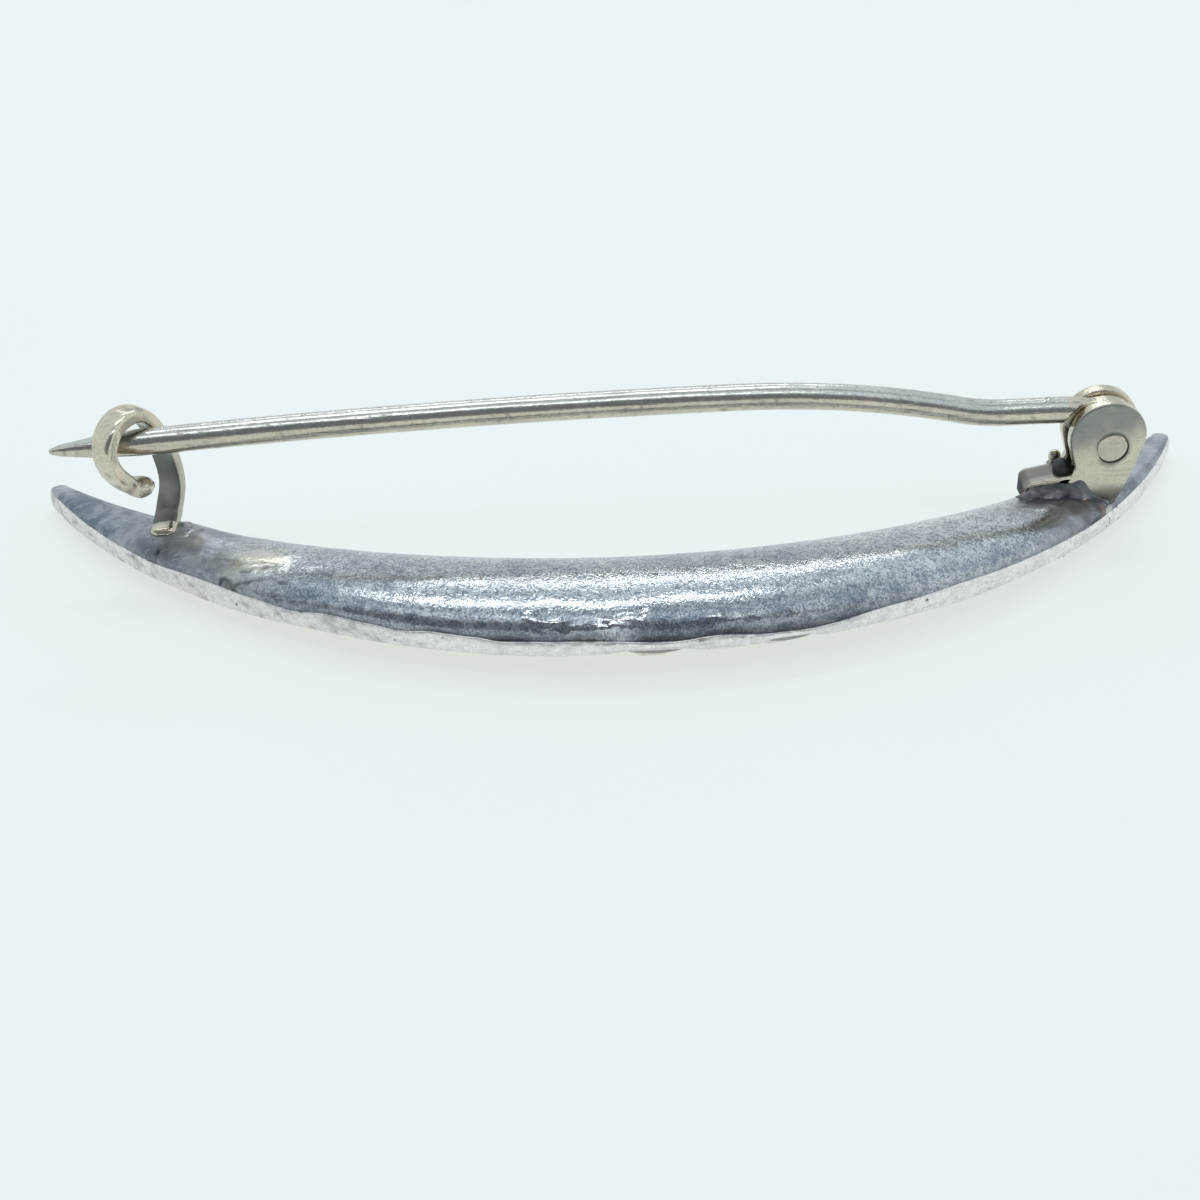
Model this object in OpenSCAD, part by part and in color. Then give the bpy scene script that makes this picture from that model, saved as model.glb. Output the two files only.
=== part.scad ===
/* [Crescent] */
// Radius of the crescent's outer edge
outer_r = 25.8; // [24:0.1:28]
// Half of the arc that the crescent covers, in degrees
half_span = 64.5; // [60:0.5:68]
// Width of the crescent at its middle
mid_w = 5.4; // [5:0.1:6]
// Width of the crescent at its blunt horn tips
tip_w = 0.8; // [0.7:0.05:1]
// Height of the domed back at the middle, above the rim
dome_h = 1.4; // [1.2:0.05:1.6]
// Height of the rim band at the middle
band_h = 0.47; // [0.4:0.01:0.6]
// Height of the rim's lower edge above the surface that the stones rest on
rest_h = 1.3; // [1.25:0.01:1.4]
// Slope of the front face down towards the horns, in degrees
front_lean = 4.2; // [4:0.1:4.4]
// Slope of the seam between the rim and the back, in degrees
seam_lean = 3.2; // [3:0.1:3.4]

/* [Stones] */
// Number of stones on each side of the middle one
side_stones = 8; // [5:1:8]
// Stone radius as a share of half the crescent's width
stone_share = 0.8; // [0.7:0.01:0.82]
// Space between the edges of two neighbours
stone_gap = 0.3; // [0.2:0.05:0.4]
// Crown height as a share of the stone radius
crown_share = 0.5; // [0.45:0.01:0.55]
// Table radius as a share of the stone radius
table_share = 0.47; // [0.4:0.01:0.55]
// Pavilion depth as a share of the stone radius
pavilion_share = 0.62; // [0.5:0.01:0.65]

/* [Pin] */
// Diameter of the pin wire
wire_d = 1.03; // [0.9:0.01:1.1]
// Distance of the pin's line behind the front of the rim
pin_y = 9.2; // [9.1:0.05:9.3]
// Height of the rivet's axis
pivot_z = 4.15; // [4.1:0.05:4.3]
// Place of the rivet's axis along the brooch
pivot_x = 18.65; // [18.5:0.05:18.7]
// Radius of the rivet
rivet_r = 0.6; // [0.5:0.01:0.64]
// Running clearance of the rivet in the pin's eye
eye_clearance = 0.05; // [0.03:0.01:0.08]

/* [Hinge and catch] */
// Thickness of each ear of the hinge bracket
ear_t = 0.5; // [0.45:0.05:0.6]
// Width of the slot between the ears
slot_w = 0.74; // [0.7:0.01:0.8]
// Radius of the ears' round heads
ear_r = 1.5; // [1.45:0.05:1.6]
// Width of the catch strip
strip_w = 1; // [0.9:0.01:1.05]
// Thickness of the catch strip
strip_t = 0.58; // [0.5:0.01:0.6]

/* [Hidden] */
// Smoothness of round shapes
$fn = 72;
// Centre of the outer circle, with the nearest point of the rim at the origin
centre_y = outer_r;
// Middle of the blunt tip
tip_mid_r = outer_r - tip_w / 2;
// Inner edge: an arc through the waist and the inner corners of both tips
inner_tip = [(outer_r - tip_w) * sin(half_span), centre_y - (outer_r - tip_w) * cos(half_span)];
inner_rise = inner_tip.y - mid_w;
inner_r = (pow(inner_tip.x, 2) + pow(inner_rise, 2)) / (2 * inner_rise);
inner_shift = mid_w + inner_r - centre_y;
// Depth of the whole crescent, whose middle is the origin
depth = centre_y - tip_mid_r * cos(half_span) + tip_w / 2;

// Width of the crescent on a ray at an angle from its middle
function width_at(a) =
    outer_r + inner_shift * cos(a) - sqrt(pow(inner_r, 2) - pow(inner_shift * sin(a), 2));
// Point on such a ray at a radius
function polar(radius, a) = [radius * sin(a), centre_y - radius * cos(a)];
// Heights of the front face, and of the seam above it, at a depth
function front_z(y) = rest_h - tan(front_lean) * y;
function seam_z(y) = rest_h + band_h - tan(seam_lean) * y;

// Row of stones, spaced by their own sizes from the middle outwards
first_step = 10;
function stone_r(a) = stone_share * width_at(a) / 2;
function row_r(a) = outer_r - width_at(a) / 2;
function after(a, guess, tries = 8) =
    tries == 0
        ? guess
        : after(a, a + (stone_r(a) + stone_r(guess) + stone_gap) / row_r((a + guess) / 2) * 180 / PI,
                tries - 1);
function stone_angle(i) =
    i == 0
        ? 0
        : i < 0
            ? -stone_angle(-i)
            : after(stone_angle(i - 1), stone_angle(i - 1) + first_step);
stone_angles = [for (i = [-side_stones : side_stones]) stone_angle(i)];
stone_count = len(stone_angles);
function stone_name(i) = str("stone_", i < 9 ? "0" : "", i + 1);

// Stone proportions, as shares of its radius
girdle_share = 0.07;
break_share = 0.74;
culet_share = 0.12;
seat_gap = 0.04;

// Round walls round the stones: outer radius against half the crescent's width, and their low lip
collet_share = 0.9;
collet_lip_share = 0.05;
collet_root = 0.05;
// Grains between the stones: place beside the row's middle line, and size
grain_place = 0.55;
grain_share = 0.13;
grain_base = 0.08;

// Domed back: exponent of its section, and of its taper towards the horns
dome_power = 2.3;
dome_taper = 1.25;
dome_inset = 0.04;
dome_root = 0.2;
dome_steps = 44;
nose_steps = 4;
nose_least = 0.03;
section_steps = 14;

// Hinge bracket, seen along the rivet
ear_head = [18.47, 4.55];
bracket_y = pin_y - slot_w / 2 - ear_t;
bracket_w = slot_w + 2 * ear_t;
// Play of the rivet in the ears, and how far its ends stand out of them
ear_play = 0.02;
rivet_stand = 0.03;
base_outline = [[16.6, 1.6], [16.6, 2.8], [16.9, 2.88], [19.3, 2.88], [19.05, 1.6]];
neck_outline = [
    [16.96, 4.4], [17.3, 3.2], [17.0, 2.5], [16.7, 1.7],
    [19.0, 1.6], [19.55, 3.0], [19.93, 4.3]
];
// Lug of the bracket towards the middle: side view, and depth from the front
lug_outline = [[15.45, 1.7], [15.45, 2.45], [15.65, 2.6], [17, 2.9], [17, 1.7]];
lug_w = 1.4;

// Pin wire: bends from the hinge to the point, as radius and turn
wire_start = [16.4, 5.46];
wire_lead = 1.9;
bends = [[8, 13], [38, -13], [350, -3.75]];
bend_steps = 10;
wire_sides = 16;
// Point of the pin, as length and end diameter
point_steps = [[1.7, 0.78], [1.2, 0.44], [0.3, 0.24], [0.1, 0.1]];
// Eye and tongue of the pin, which turn between the ears with this much play on each side
eye_r = 1.2;
eye_play = 0.05;
eye_t = slot_w - 2 * eye_play;
tongue_x = 16.1;
tongue_half = 0.45;

// Catch hook: centre line from its toe to its curled end, the angle that its broad side runs
// along, and its size there
hook_rows = [
    // x, y, z, facing, size
    [-18.12, 9, 2.02, -22, 0.85],
    [-18.08, 9.55, 2.12, -22, 0.95],
    [-17.95, 10.12, 2.55, -24, 1],
    [-17.76, 10.32, 3.6, -26, 1],
    [-17.9, 10.3, 4.8, -28, 1],
    [-18.27, 10.26, 5.98, -34, 0.96],
    [-18.7, 9.8, 6.9, -40, 0.92],
    [-19.2, 9.08, 7.15, -44, 0.96],
    [-19.64, 8.4, 6.87, -44, 1],
    [-19.8, 8.05, 6.15, -44, 1],
    [-19.64, 8.0, 5.4, -44, 1],
    [-19.15, 8.04, 4.82, -44, 0.95],
    [-18.65, 8.1, 4.62, -44, 0.8],
    [-18.25, 8.12, 4.72, -44, 0.45]
];
hook_smooth = 4;
// Rounding of the strip's corners
corner = 0.14;

// Solder: place, radius and height above the ridge of each low mound
solder_rows = [
    // x, y, radius, height
    [-17.7, 9.6, 1.2, 0.12],
    [-18.5, 9.3, 0.9, 0.1],
    [17.5, 8.7, 1.5, 0.12]
];
solder_root = 0.5;

// Plan of the crescent between two angles, with blunt round tips
module crescent_plan() {
    reach = 2 * outer_r;
    intersection() {
        difference() {
            translate([0, centre_y]) circle(outer_r, $fn = 360);
            translate([0, centre_y + inner_shift]) circle(inner_r, $fn = 360);
        }
        polygon([
            [0, centre_y],
            polar(reach, half_span),
            [reach, -reach],
            [-reach, -reach],
            polar(reach, -half_span)
        ]);
    }
    for (side = [-1, 1])
        translate(polar(tip_mid_r, side * half_span)) circle(tip_w / 2);
}

// Front setting plate between the sloping front face and the seam
module front_plate() {
    size = 3 * outer_r;
    intersection() {
        linear_extrude(rest_h + dome_h) crescent_plan();
        translate([0, 0, rest_h]) rotate([-front_lean, 0, 0]) translate([-size / 2, -size / 2, 0])
            cube(size);
        translate([0, 0, rest_h + band_h]) rotate([-seam_lean, 0, 0])
            translate([-size / 2, -size / 2, -size]) cube(size);
    }
}

// Stations of the domed back: angle and width, with a round nose at each horn
nose_angle = tip_w / 2 / tip_mid_r * 180 / PI;
function nose(side) = [
    for (i = [1 : nose_steps])
        let (turn = 90 * (side < 0 ? nose_steps + 1 - i : i) / (nose_steps + 1))
        [side * (half_span + nose_angle * sin(turn)), tip_w * cos(turn)]
];
stations = concat(
    nose(-1),
    [for (i = [0 : dome_steps]) let (a = -half_span + 2 * half_span * i / dome_steps) [a, width_at(a)]],
    nose(1)
);

// One section of the domed back, from its inner foot over the top to its outer foot
function power(x, p) = sign(x) * pow(abs(x), p);
function dome_section(angle, width) =
    let (
        middle = abs(angle) > half_span ? tip_mid_r : outer_r - width / 2,
        half = max(width / 2 - dome_inset, nose_least),
        rise = dome_h * pow(width / mid_w, dome_taper)
    )
    concat(
        [for (i = [1 : section_steps - 1])
            let (
                turn = 180 * i / section_steps,
                flat = polar(middle - half * power(cos(turn), 2 / dome_power), angle)
            )
            [flat.x, flat.y, seam_z(flat.y) + rise * pow(abs(sin(turn)), 2 / dome_power)]],
        [for (side = [1, -1])
            let (flat = polar(middle + side * half, angle))
            [flat.x, flat.y, seam_z(flat.y) - dome_root]]
    );

// Skin over a list of rings of equal length, closed at both ends
module skin(rings) {
    n = len(rings[0]);
    last = len(rings) - 1;
    polyhedron(
        points = [for (ring = rings) each ring],
        faces = concat(
            [[for (j = [0 : n - 1]) j]],
            [[for (j = [n - 1 : -1 : 0]) last * n + j]],
            [for (i = [0 : last - 1], j = [0 : n - 1])
                let (a = i * n + j, b = i * n + (j + 1) % n)
                each [[a, a + n, b], [b, a + n, b + n]]]
        )
    );
}

module domed_back() {
    skin([for (s = stations) dome_section(s[0], s[1])]);
}

// Frame of one stone: its centre line stands upright and its table rests at height zero
module at_stone(i) {
    translate(polar(row_r(stone_angles[i]), stone_angles[i])) rotate(stone_angles[i]) children();
}
function radius_of(i) = stone_r(stone_angles[i]);
function girdle_z(i) = crown_share * radius_of(i);

// Round walls that hold the stones
module collets() {
    for (i = [0 : stone_count - 1]) {
        r = radius_of(i);
        wall_r = r * collet_share / stone_share;
        low = girdle_z(i) - collet_lip_share * r;
        at_stone(i) translate([0, 0, low]) cylinder(r = wall_r, h = front_z(0) - low - collet_root);
    }
}

// Seat of one stone: open below, round at the girdle and conical above it
module seat(i) {
    r = radius_of(i);
    girdle = girdle_z(i);
    shoulder = girdle + girdle_share * r + seat_gap;
    top = shoulder + pavilion_share * r;
    wide = r + seat_gap;
    at_stone(i) rotate_extrude()
        polygon([
            [0, -rest_h], [wide, -rest_h], [wide, shoulder],
            [culet_share * r + seat_gap, top], [0, top]
        ]);
}

// Round grains of metal between the stones
module grains() {
    for (i = [0 : stone_count - 2]) {
        a = (stone_angles[i] + stone_angles[i + 1]) / 2;
        r = stone_r(a);
        for (side = [-1, 1])
            translate(concat(polar(row_r(a) + side * grain_place * r, a), crown_share * r))
                sphere(grain_share * r + grain_base, $fn = 32);
    }
}

// Upright plate seen along the rivet, from one depth to another
module upright(y, thickness) {
    translate([0, y + thickness, 0]) rotate([90, 0, 0]) linear_extrude(thickness) children();
}

module ear_outline() {
    translate(ear_head) circle(ear_r);
    polygon(neck_outline);
}

module hinge_bracket() {
    difference() {
        union() {
            upright(bracket_y, bracket_w) polygon(base_outline);
            upright(bracket_y, lug_w) polygon(lug_outline);
            for (y = [bracket_y, bracket_y + slot_w + ear_t])
                upright(y, ear_t) ear_outline();
        }
        upright(bracket_y - 1, bracket_w + 2) translate([pivot_x, pivot_z]) circle(rivet_r + ear_play);
    }
}

// Smooth curve through the rows of a table
function blend_rows(p, i, t) =
    let (
        last = len(p) - 1,
        p0 = p[max(i - 1, 0)],
        p1 = p[i],
        p2 = p[min(i + 1, last)],
        p3 = p[min(i + 2, last)]
    )
    0.5 * (2 * p1 + (p2 - p0) * t + (2 * p0 - 5 * p1 + 4 * p2 - p3) * t * t
        + (3 * p1 - p0 - 3 * p2 + p3) * t * t * t);
function unit(v) = v / norm(v);

module catch_hook() {
    spans = len(hook_rows) - 1;
    curve = concat(
        [for (i = [0 : spans - 1], k = [0 : hook_smooth - 1]) blend_rows(hook_rows, i, k / hook_smooth)],
        [hook_rows[spans]]
    );
    last = len(curve) - 1;
    half_w = strip_w / 2;
    half_t = strip_t / 2;
    outline = [
        [half_w, half_t - corner], [half_w - corner, half_t],
        [corner - half_w, half_t], [-half_w, half_t - corner],
        [-half_w, corner - half_t], [corner - half_w, -half_t],
        [half_w - corner, -half_t], [half_w, corner - half_t]
    ];
    skin([
        for (i = [0 : last])
            let (
                here = [curve[i].x, curve[i].y, curve[i].z],
                from = curve[max(i - 1, 0)],
                to = curve[min(i + 1, last)],
                along = unit([to.x - from.x, to.y - from.y, to.z - from.z]),
                facing = [cos(curve[i][3]), sin(curve[i][3]), 0],
                across = unit(facing - (facing * along) * along),
                out = cross(along, across),
                size = curve[i][4]
            )
            [for (p = outline) here + size * (p.x * across + p.y * out)]
    ]);
}

// Low mounds of solder at the feet of the catch and the hinge, kept within the crescent's plan
module solder() {
    intersection() {
        linear_extrude(rest_h + 2 * dome_h) crescent_plan();
        for (row = solder_rows) {
            r = (pow(row[2], 2) + pow(row[3], 2)) / (2 * row[3]);
            angle = atan(row.x / (centre_y - row.y));
            ridge = seam_z(row.y) + dome_h * pow(width_at(angle) / mid_w, dome_taper);
            translate([row.x, row.y, ridge + row[3] - r]) intersection() {
                sphere(r);
                translate([-r, -r, r - row[3] - solder_root]) cube([2 * r, 2 * r, r]);
            }
        }
    }
}

module crescent() {
    color("darkgray") difference() {
        union() {
            front_plate();
            domed_back();
            collets();
            grains();
            hinge_bracket();
            catch_hook();
            solder();
        }
        for (i = [0 : stone_count - 1]) seat(i);
    }
}

// Round stone with a table, star, bezel and girdle facets over a shallow pavilion
module stone(i) {
    r = radius_of(i);
    girdle = girdle_z(i);
    table_r = table_share * r;
    break_r = break_share * r;
    // The bezel facets are flat when the ring where they meet has this height
    break_z = girdle * (break_r * cos(22.5) - table_r) / (r - table_r);
    top = girdle + girdle_share * r;
    ring = function (count, radius, z, turn)
        [for (k = [0 : count - 1])
            let (a = 360 * k / count + turn)
            [radius * cos(a), radius * sin(a), z]];
    table = 0;
    brk = 8;
    low = 16;
    high = 32;
    culet = 48;
    color("lavender") at_stone(i) polyhedron(
        points = concat(
            ring(8, table_r, 0, 22.5),
            ring(8, break_r, break_z, 0),
            ring(16, r, girdle, 0),
            ring(16, r, top, 0),
            ring(8, culet_share * r, top + pavilion_share * r, 22.5)
        ),
        faces = concat(
            [[for (k = [0 : 7]) table + k]],
            [for (k = [0 : 7])
                let (
                    t = table + k,
                    before = table + (k + 7) % 8,
                    b = brk + k,
                    c = brk + (k + 1) % 8,
                    g0 = low + 2 * k,
                    g1 = low + 2 * k + 1,
                    g2 = low + (2 * k + 2) % 16
                )
                each [[before, b, t], [t, b, g1], [t, g1, c], [b, g0, g1], [c, g1, g2]]],
            [for (k = [0 : 15])
                let (n = (k + 1) % 16)
                each [[low + k, high + k, low + n], [low + n, high + k, high + n]]],
            [for (k = [0 : 7])
                let (
                    u = culet + k,
                    v = culet + (k + 1) % 8,
                    g0 = high + 2 * k,
                    g1 = high + 2 * k + 1,
                    g2 = high + (2 * k + 2) % 16
                )
                each [[g0, u, g1], [g1, u, g2], [u, v, g2]]],
            [[for (k = [7 : -1 : 0]) culet + k]]
        )
    );
}

// Rows of the wire from the hinge to the point, each with its place, heading and radius
// The wire runs towards -x, and a positive turn lifts it
function ahead(heading) = [-cos(heading), sin(heading)];
function above(heading) = [sin(heading), cos(heading)];
function bent(at, heading, radius, turn) =
    at + radius * sin(abs(turn)) * ahead(heading) + sign(turn) * radius * (1 - cos(turn)) * above(heading);
function wire_rows(i, at, heading) =
    i == len(bends)
        ? point_rows(0, at, heading, wire_d / 2)
        : concat(
            [for (k = [0 : bend_steps - 1])
                let (turn = bends[i][1] * k / bend_steps)
                [bent(at, heading, bends[i][0], turn), heading + turn, wire_d / 2]],
            wire_rows(i + 1, bent(at, heading, bends[i][0], bends[i][1]), heading + bends[i][1])
        );
function point_rows(i, at, heading, radius) =
    concat(
        [[at, heading, radius]],
        i == len(point_steps)
            ? []
            : point_rows(i + 1, at + point_steps[i][0] * ahead(heading), heading, point_steps[i][1] / 2)
    );

module wire() {
    bend_start = wire_start + wire_lead * ahead(0);
    rows = concat([[wire_start, 0, wire_d / 2]], wire_rows(0, bend_start, 0));
    skin([
        for (row = rows)
            [for (k = [0 : wire_sides - 1])
                let (
                    turn = 360 * (k + 0.5) / wire_sides,
                    flat = row[0] + row[2] * cos(turn) * above(row[1])
                )
                [flat.x, pin_y + row[2] * sin(turn), flat.y]]
    ]);
}

// Point on the eye's round edge, turned up from its side towards the wire
function eye_edge(turn) = [pivot_x - eye_r * cos(turn), pivot_z + eye_r * sin(turn)];

module pin() {
    color("tan") difference() {
        union() {
            wire();
            upright(pin_y - eye_t / 2, eye_t) {
                translate([pivot_x, pivot_z]) circle(eye_r);
                polygon([
                    [tongue_x, wire_start.y - tongue_half],
                    [tongue_x, wire_start.y + tongue_half],
                    eye_edge(75),
                    [pivot_x, pivot_z],
                    eye_edge(8)
                ]);
            }
        }
        upright(pin_y - 1, 2) translate([pivot_x, pivot_z]) circle(rivet_r + eye_clearance);
    }
}

module rivet() {
    color("tan") upright(bracket_y - rivet_stand, bracket_w + 2 * rivet_stand)
        translate([pivot_x, pivot_z]) circle(rivet_r);
}

// The brooch as it lies, face down and centred
module laid() {
    translate([0, -depth / 2, 0]) children();
}

laid() crescent();
laid() pin();
laid() rivet();
for (i = [0 : stone_count - 1])
    laid() stone(i);
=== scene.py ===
"""Crescent moon brooch: the finish of every surface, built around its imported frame.

The shape functions work in millimetres, in the crescent's own frame: the front of the rim is at y = 0,
its middle at x = 0, and the tables of the stones at z = 0. A mesh is laid in the frame, in metres, when
it is made.
"""
import math

import bmesh
import bpy
import numpy as np
from mathutils import Matrix, Vector


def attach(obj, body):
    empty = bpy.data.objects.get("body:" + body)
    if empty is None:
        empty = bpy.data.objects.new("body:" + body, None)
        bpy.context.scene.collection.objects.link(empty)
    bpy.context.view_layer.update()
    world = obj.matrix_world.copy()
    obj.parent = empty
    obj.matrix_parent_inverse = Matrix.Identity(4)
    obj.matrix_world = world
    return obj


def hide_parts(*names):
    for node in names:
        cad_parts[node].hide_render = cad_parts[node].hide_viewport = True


bl_info = {
    "name": "Crescent Moon Brooch",
    "version": (1, 0, 0),
    "blender": (4, 5, 0),
    "location": "3D View > Sidebar > Brooch",
    "description": "Builds the metal, the stones and the pin of a crescent brooch",
    "category": "Add Mesh",
}

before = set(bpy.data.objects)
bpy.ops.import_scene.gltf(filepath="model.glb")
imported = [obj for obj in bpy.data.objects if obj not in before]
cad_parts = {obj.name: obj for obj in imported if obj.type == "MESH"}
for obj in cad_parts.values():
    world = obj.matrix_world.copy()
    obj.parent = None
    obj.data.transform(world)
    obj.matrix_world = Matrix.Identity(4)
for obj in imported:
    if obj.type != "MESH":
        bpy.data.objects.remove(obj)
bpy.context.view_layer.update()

MM = 0.001
BROOCH = "brooch"
PIN_ARM = "pin_arm"
# Edges that turn more than this stay hard
SHARP = math.radians(38)
# Points nearer than this are one, and edges shorter than this go, in metres
DOUBLES = 1e-8
SLIVERS = 1e-9


# Panel values

def size_value(name, description, default):
    """A length in the panel, in metres."""
    return bpy.props.FloatProperty(name=name, description=description, default=default, unit="LENGTH")


def angle_value(name, description, degrees):
    """An angle in the panel, from degrees."""
    return bpy.props.FloatProperty(
        name=name, description=description, default=math.radians(degrees), subtype="ANGLE")


def light_value(name, description, watts):
    """The power of a light in the panel."""
    return bpy.props.FloatProperty(name=name, description=description, default=watts, unit="POWER")


def colour_value(name, description, default):
    """A colour in the panel, in linear light."""
    return bpy.props.FloatVectorProperty(
        name=name, description=description, default=default, size=3, min=0, max=1, subtype="COLOR")


class BroochSizes(bpy.types.PropertyGroup):
    """Driving sizes of the brooch."""

    outer_radius: size_value("Outer radius", "Radius of the crescent's outer edge", 0.0258)
    half_span: angle_value("Half span", "Half of the arc that the crescent covers", 64.5)
    middle_width: size_value("Middle width", "Width of the crescent at its middle", 0.0054)
    tip_width: size_value("Tip width", "Width at the blunt horn tips", 0.0008)
    dome_height: size_value("Dome height", "Height of the domed back above the rim", 0.0014)
    band_height: size_value("Band height", "Height of the rim band at the middle", 0.00047)
    rest_height: size_value("Rest height", "Height of the rim's lower edge above the stones' tables", 0.0013)
    front_lean: angle_value("Front lean", "Slope of the front face towards the horns", 4.2)
    seam_lean: angle_value("Seam lean", "Slope of the seam between rim and back", 3.2)
    side_stones: bpy.props.IntProperty(
        name="Side stones", description="Stones on each side of the middle one", default=8, min=1, max=8)
    stone_share: bpy.props.FloatProperty(
        name="Stone share", description="Stone radius as a share of half the crescent's width", default=0.8,
        subtype="FACTOR")
    stone_gap: size_value("Stone gap", "Space between the edges of two stones", 0.0003)
    wire_diameter: size_value("Wire diameter", "Diameter of the pin wire", 0.00103)
    pin_depth: size_value("Pin depth", "Distance of the pin's line behind the front of the rim", 0.0092)
    pivot_place: size_value("Pivot place", "Place of the rivet along the brooch", 0.01865)
    pivot_height: size_value("Pivot height", "Height of the rivet's axis", 0.00415)
    rivet_radius: size_value("Rivet radius", "Radius of the rivet", 0.0006)
    ear_thickness: size_value("Ear thickness", "Thickness of each ear of the hinge", 0.0005)
    slot_width: size_value("Slot width", "Width of the slot between the ears", 0.00074)
    strip_width: size_value("Strip width", "Width of the catch strip", 0.001)
    strip_thickness: size_value("Strip thickness", "Thickness of the catch strip", 0.00058)


class BroochFinish(bpy.types.PropertyGroup):
    """Colours of the metals, the dirt and painted shade, the foil and the floor."""

    # Also the colour of the painted highlight along the back's ridges
    silver: colour_value("Silver", "Silver where it is rubbed clean", (0.75, 0.785, 0.8))
    # Also the colour of the painted shade on the back
    oxide: colour_value("Oxide", "Silver where it has darkened", (0.15, 0.185, 0.235))
    bruise: colour_value("Bruise", "Heat stain near the solder", (0.26, 0.255, 0.27))
    rim: colour_value("Rim", "Pale worn silver of the rim", (0.9, 0.885, 0.86))
    solder: colour_value("Solder", "Pale solder on the back", (0.68, 0.67, 0.58))
    copper: colour_value("Copper", "Bare copper in the solder", (0.72, 0.36, 0.22))
    nickel: colour_value("Nickel", "Yellowish metal of the pin, hinge and catch", (0.7, 0.635, 0.505))
    # Painted reflection of the bluish sky, laid on the pin's upper side
    nickel_sky_reflection: colour_value("Cool nickel", "The same metal where it is bright drawn", (0.66, 0.67, 0.66))
    # Also the colour of painted shade and of a painted dark reflection on the near ear's top
    nickel_shade: colour_value("Nickel shade", "The same metal where it has dulled", (0.225, 0.238, 0.222))
    # Also the colour of painted shade in the crease, the slot, the holes and under the hinge
    dirt: colour_value("Dirt", "Old polish and dirt in the corners", (0.045, 0.045, 0.05))
    foil: colour_value("Foil", "Aged foil behind the stones", (0.8, 0.76, 0.7))
    floor: colour_value("Floor", "Floor in the light of the tent", (0.255, 0.305, 0.355))
    floor_glow: colour_value("Floor glow", "Light that comes up through the floor", (0.61, 0.62, 0.575))


class BroochStage(bpy.types.PropertyGroup):
    """Camera and light."""

    distance: size_value("Distance", "Distance of the camera from the front of the rim", 0.08)
    elevation: angle_value("Elevation", "Height of the camera's view", 32.01)
    azimuth: angle_value("Azimuth", "Turn of the camera's view", -4.59)
    roll: angle_value("Roll", "Roll of the camera", 0.529)
    lens: bpy.props.FloatProperty(
        name="Lens", description="Focal length on a 36 mm sensor", default=66.47, unit="CAMERA")
    tent: bpy.props.FloatProperty(name="Tent", description="Brightness of the light tent", default=1.12)
    back_light: light_value("Back light", "Power of the long soft light behind the brooch", 0.05)
    top_light: light_value("Top light", "Power of the long soft light overhead", 0.1)
    front_light: light_value("Front light", "Power of the long soft light above the front", 0.07)


def mm(metres):
    """A panel length in millimetres."""
    return metres / MM


# Plan of the crescent

class Plan:
    """Plan and heights of the crescent, worked out from the sizes in the panel."""

    # The dome's height goes with the width to the power taper, and its section is a superellipse
    taper = 1.25
    dome_power = 2.3
    # Shares of a stone's radius: its crown, girdle, pavilion and culet, and the wall round it
    crown_share = 0.5
    girdle_share = 0.07
    pavilion_share = 0.62
    culet_share = 0.12
    wall_share = 1.125
    # Space between a stone and its seat
    seat_gap = 0.04
    # Stations on the round nose of each horn
    nose_rows = 10

    def __init__(self, sizes):
        self.outer = mm(sizes.outer_radius)
        self.span = sizes.half_span
        self.middle = mm(sizes.middle_width)
        self.tip = mm(sizes.tip_width)
        self.dome = mm(sizes.dome_height)
        self.band = mm(sizes.band_height)
        self.rest = mm(sizes.rest_height)
        self.front_slope = math.tan(sizes.front_lean)
        self.seam_slope = math.tan(sizes.seam_lean)
        corner = self.outer - self.tip
        across = corner * math.sin(self.span)
        rise = self.outer - corner * math.cos(self.span) - self.middle
        self.inner = (across ** 2 + rise ** 2) / (2 * rise)
        self.shift = self.middle + self.inner - self.outer
        self.tip_middle = self.outer - self.tip / 2
        self.depth = self.outer - self.tip_middle * math.cos(self.span) + self.tip / 2
        self.share = sizes.stone_share
        self.gap = mm(sizes.stone_gap)
        self.stones = self.stone_row(sizes.side_stones)

    def width(self, angle):
        """Width on a ray at an angle from the middle: outer radius less the inner circle's distance."""
        across = np.sqrt(self.inner ** 2 - (self.shift * np.sin(angle)) ** 2)
        return self.outer + self.shift * np.cos(angle) - across

    def flat(self, radius, angle):
        """x and y of a point on a ray at a radius."""
        return radius * np.sin(angle), self.outer - radius * np.cos(angle)

    def front(self, y):
        """Height of the front face at a depth."""
        return self.rest - self.front_slope * y

    def seam(self, y):
        """Height of the seam at a depth."""
        return self.rest + self.band - self.seam_slope * y

    def stone_radius(self, angle):
        """Radius of a stone at an angle."""
        return self.share * self.width(angle) / 2

    def row_radius(self, angle):
        """Radius of the line that the stones stand on."""
        return self.outer - self.width(angle) / 2

    def stone_row(self, side):
        """Angles of the stones, in a few passes each: off from the last one by both radii and the gap."""
        angles = [0.0]
        for _ in range(side):
            here = angles[-1]
            guess = here + math.radians(10)
            for _ in range(8):
                reach = self.stone_radius(here) + self.stone_radius(guess) + self.gap
                guess = here + reach / self.row_radius((here + guess) / 2)
            angles.append(float(guess))
        return np.array([-a for a in reversed(angles[1:])] + angles)

    def stations(self, count):
        """Angles and widths along the crescent, with a round nose past each end."""
        angles = np.linspace(-self.span, self.span, count)
        turn = np.linspace(0, np.pi / 2, self.nose_rows + 2)[1:-1]
        nose = self.span + self.tip / 2 / self.tip_middle * np.sin(turn)
        nose_width = self.tip * np.cos(turn)
        return (
            np.concatenate([-nose[::-1], angles, nose]),
            np.concatenate([nose_width[::-1], self.width(angles), nose_width]),
        )

    def middle_radius(self, angle, width):
        """Radius of the section's middle, which stays put past the ends."""
        return np.where(np.abs(angle) > self.span, self.tip_middle, self.outer - width / 2)


# Curves and noise on whole arrays

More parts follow.
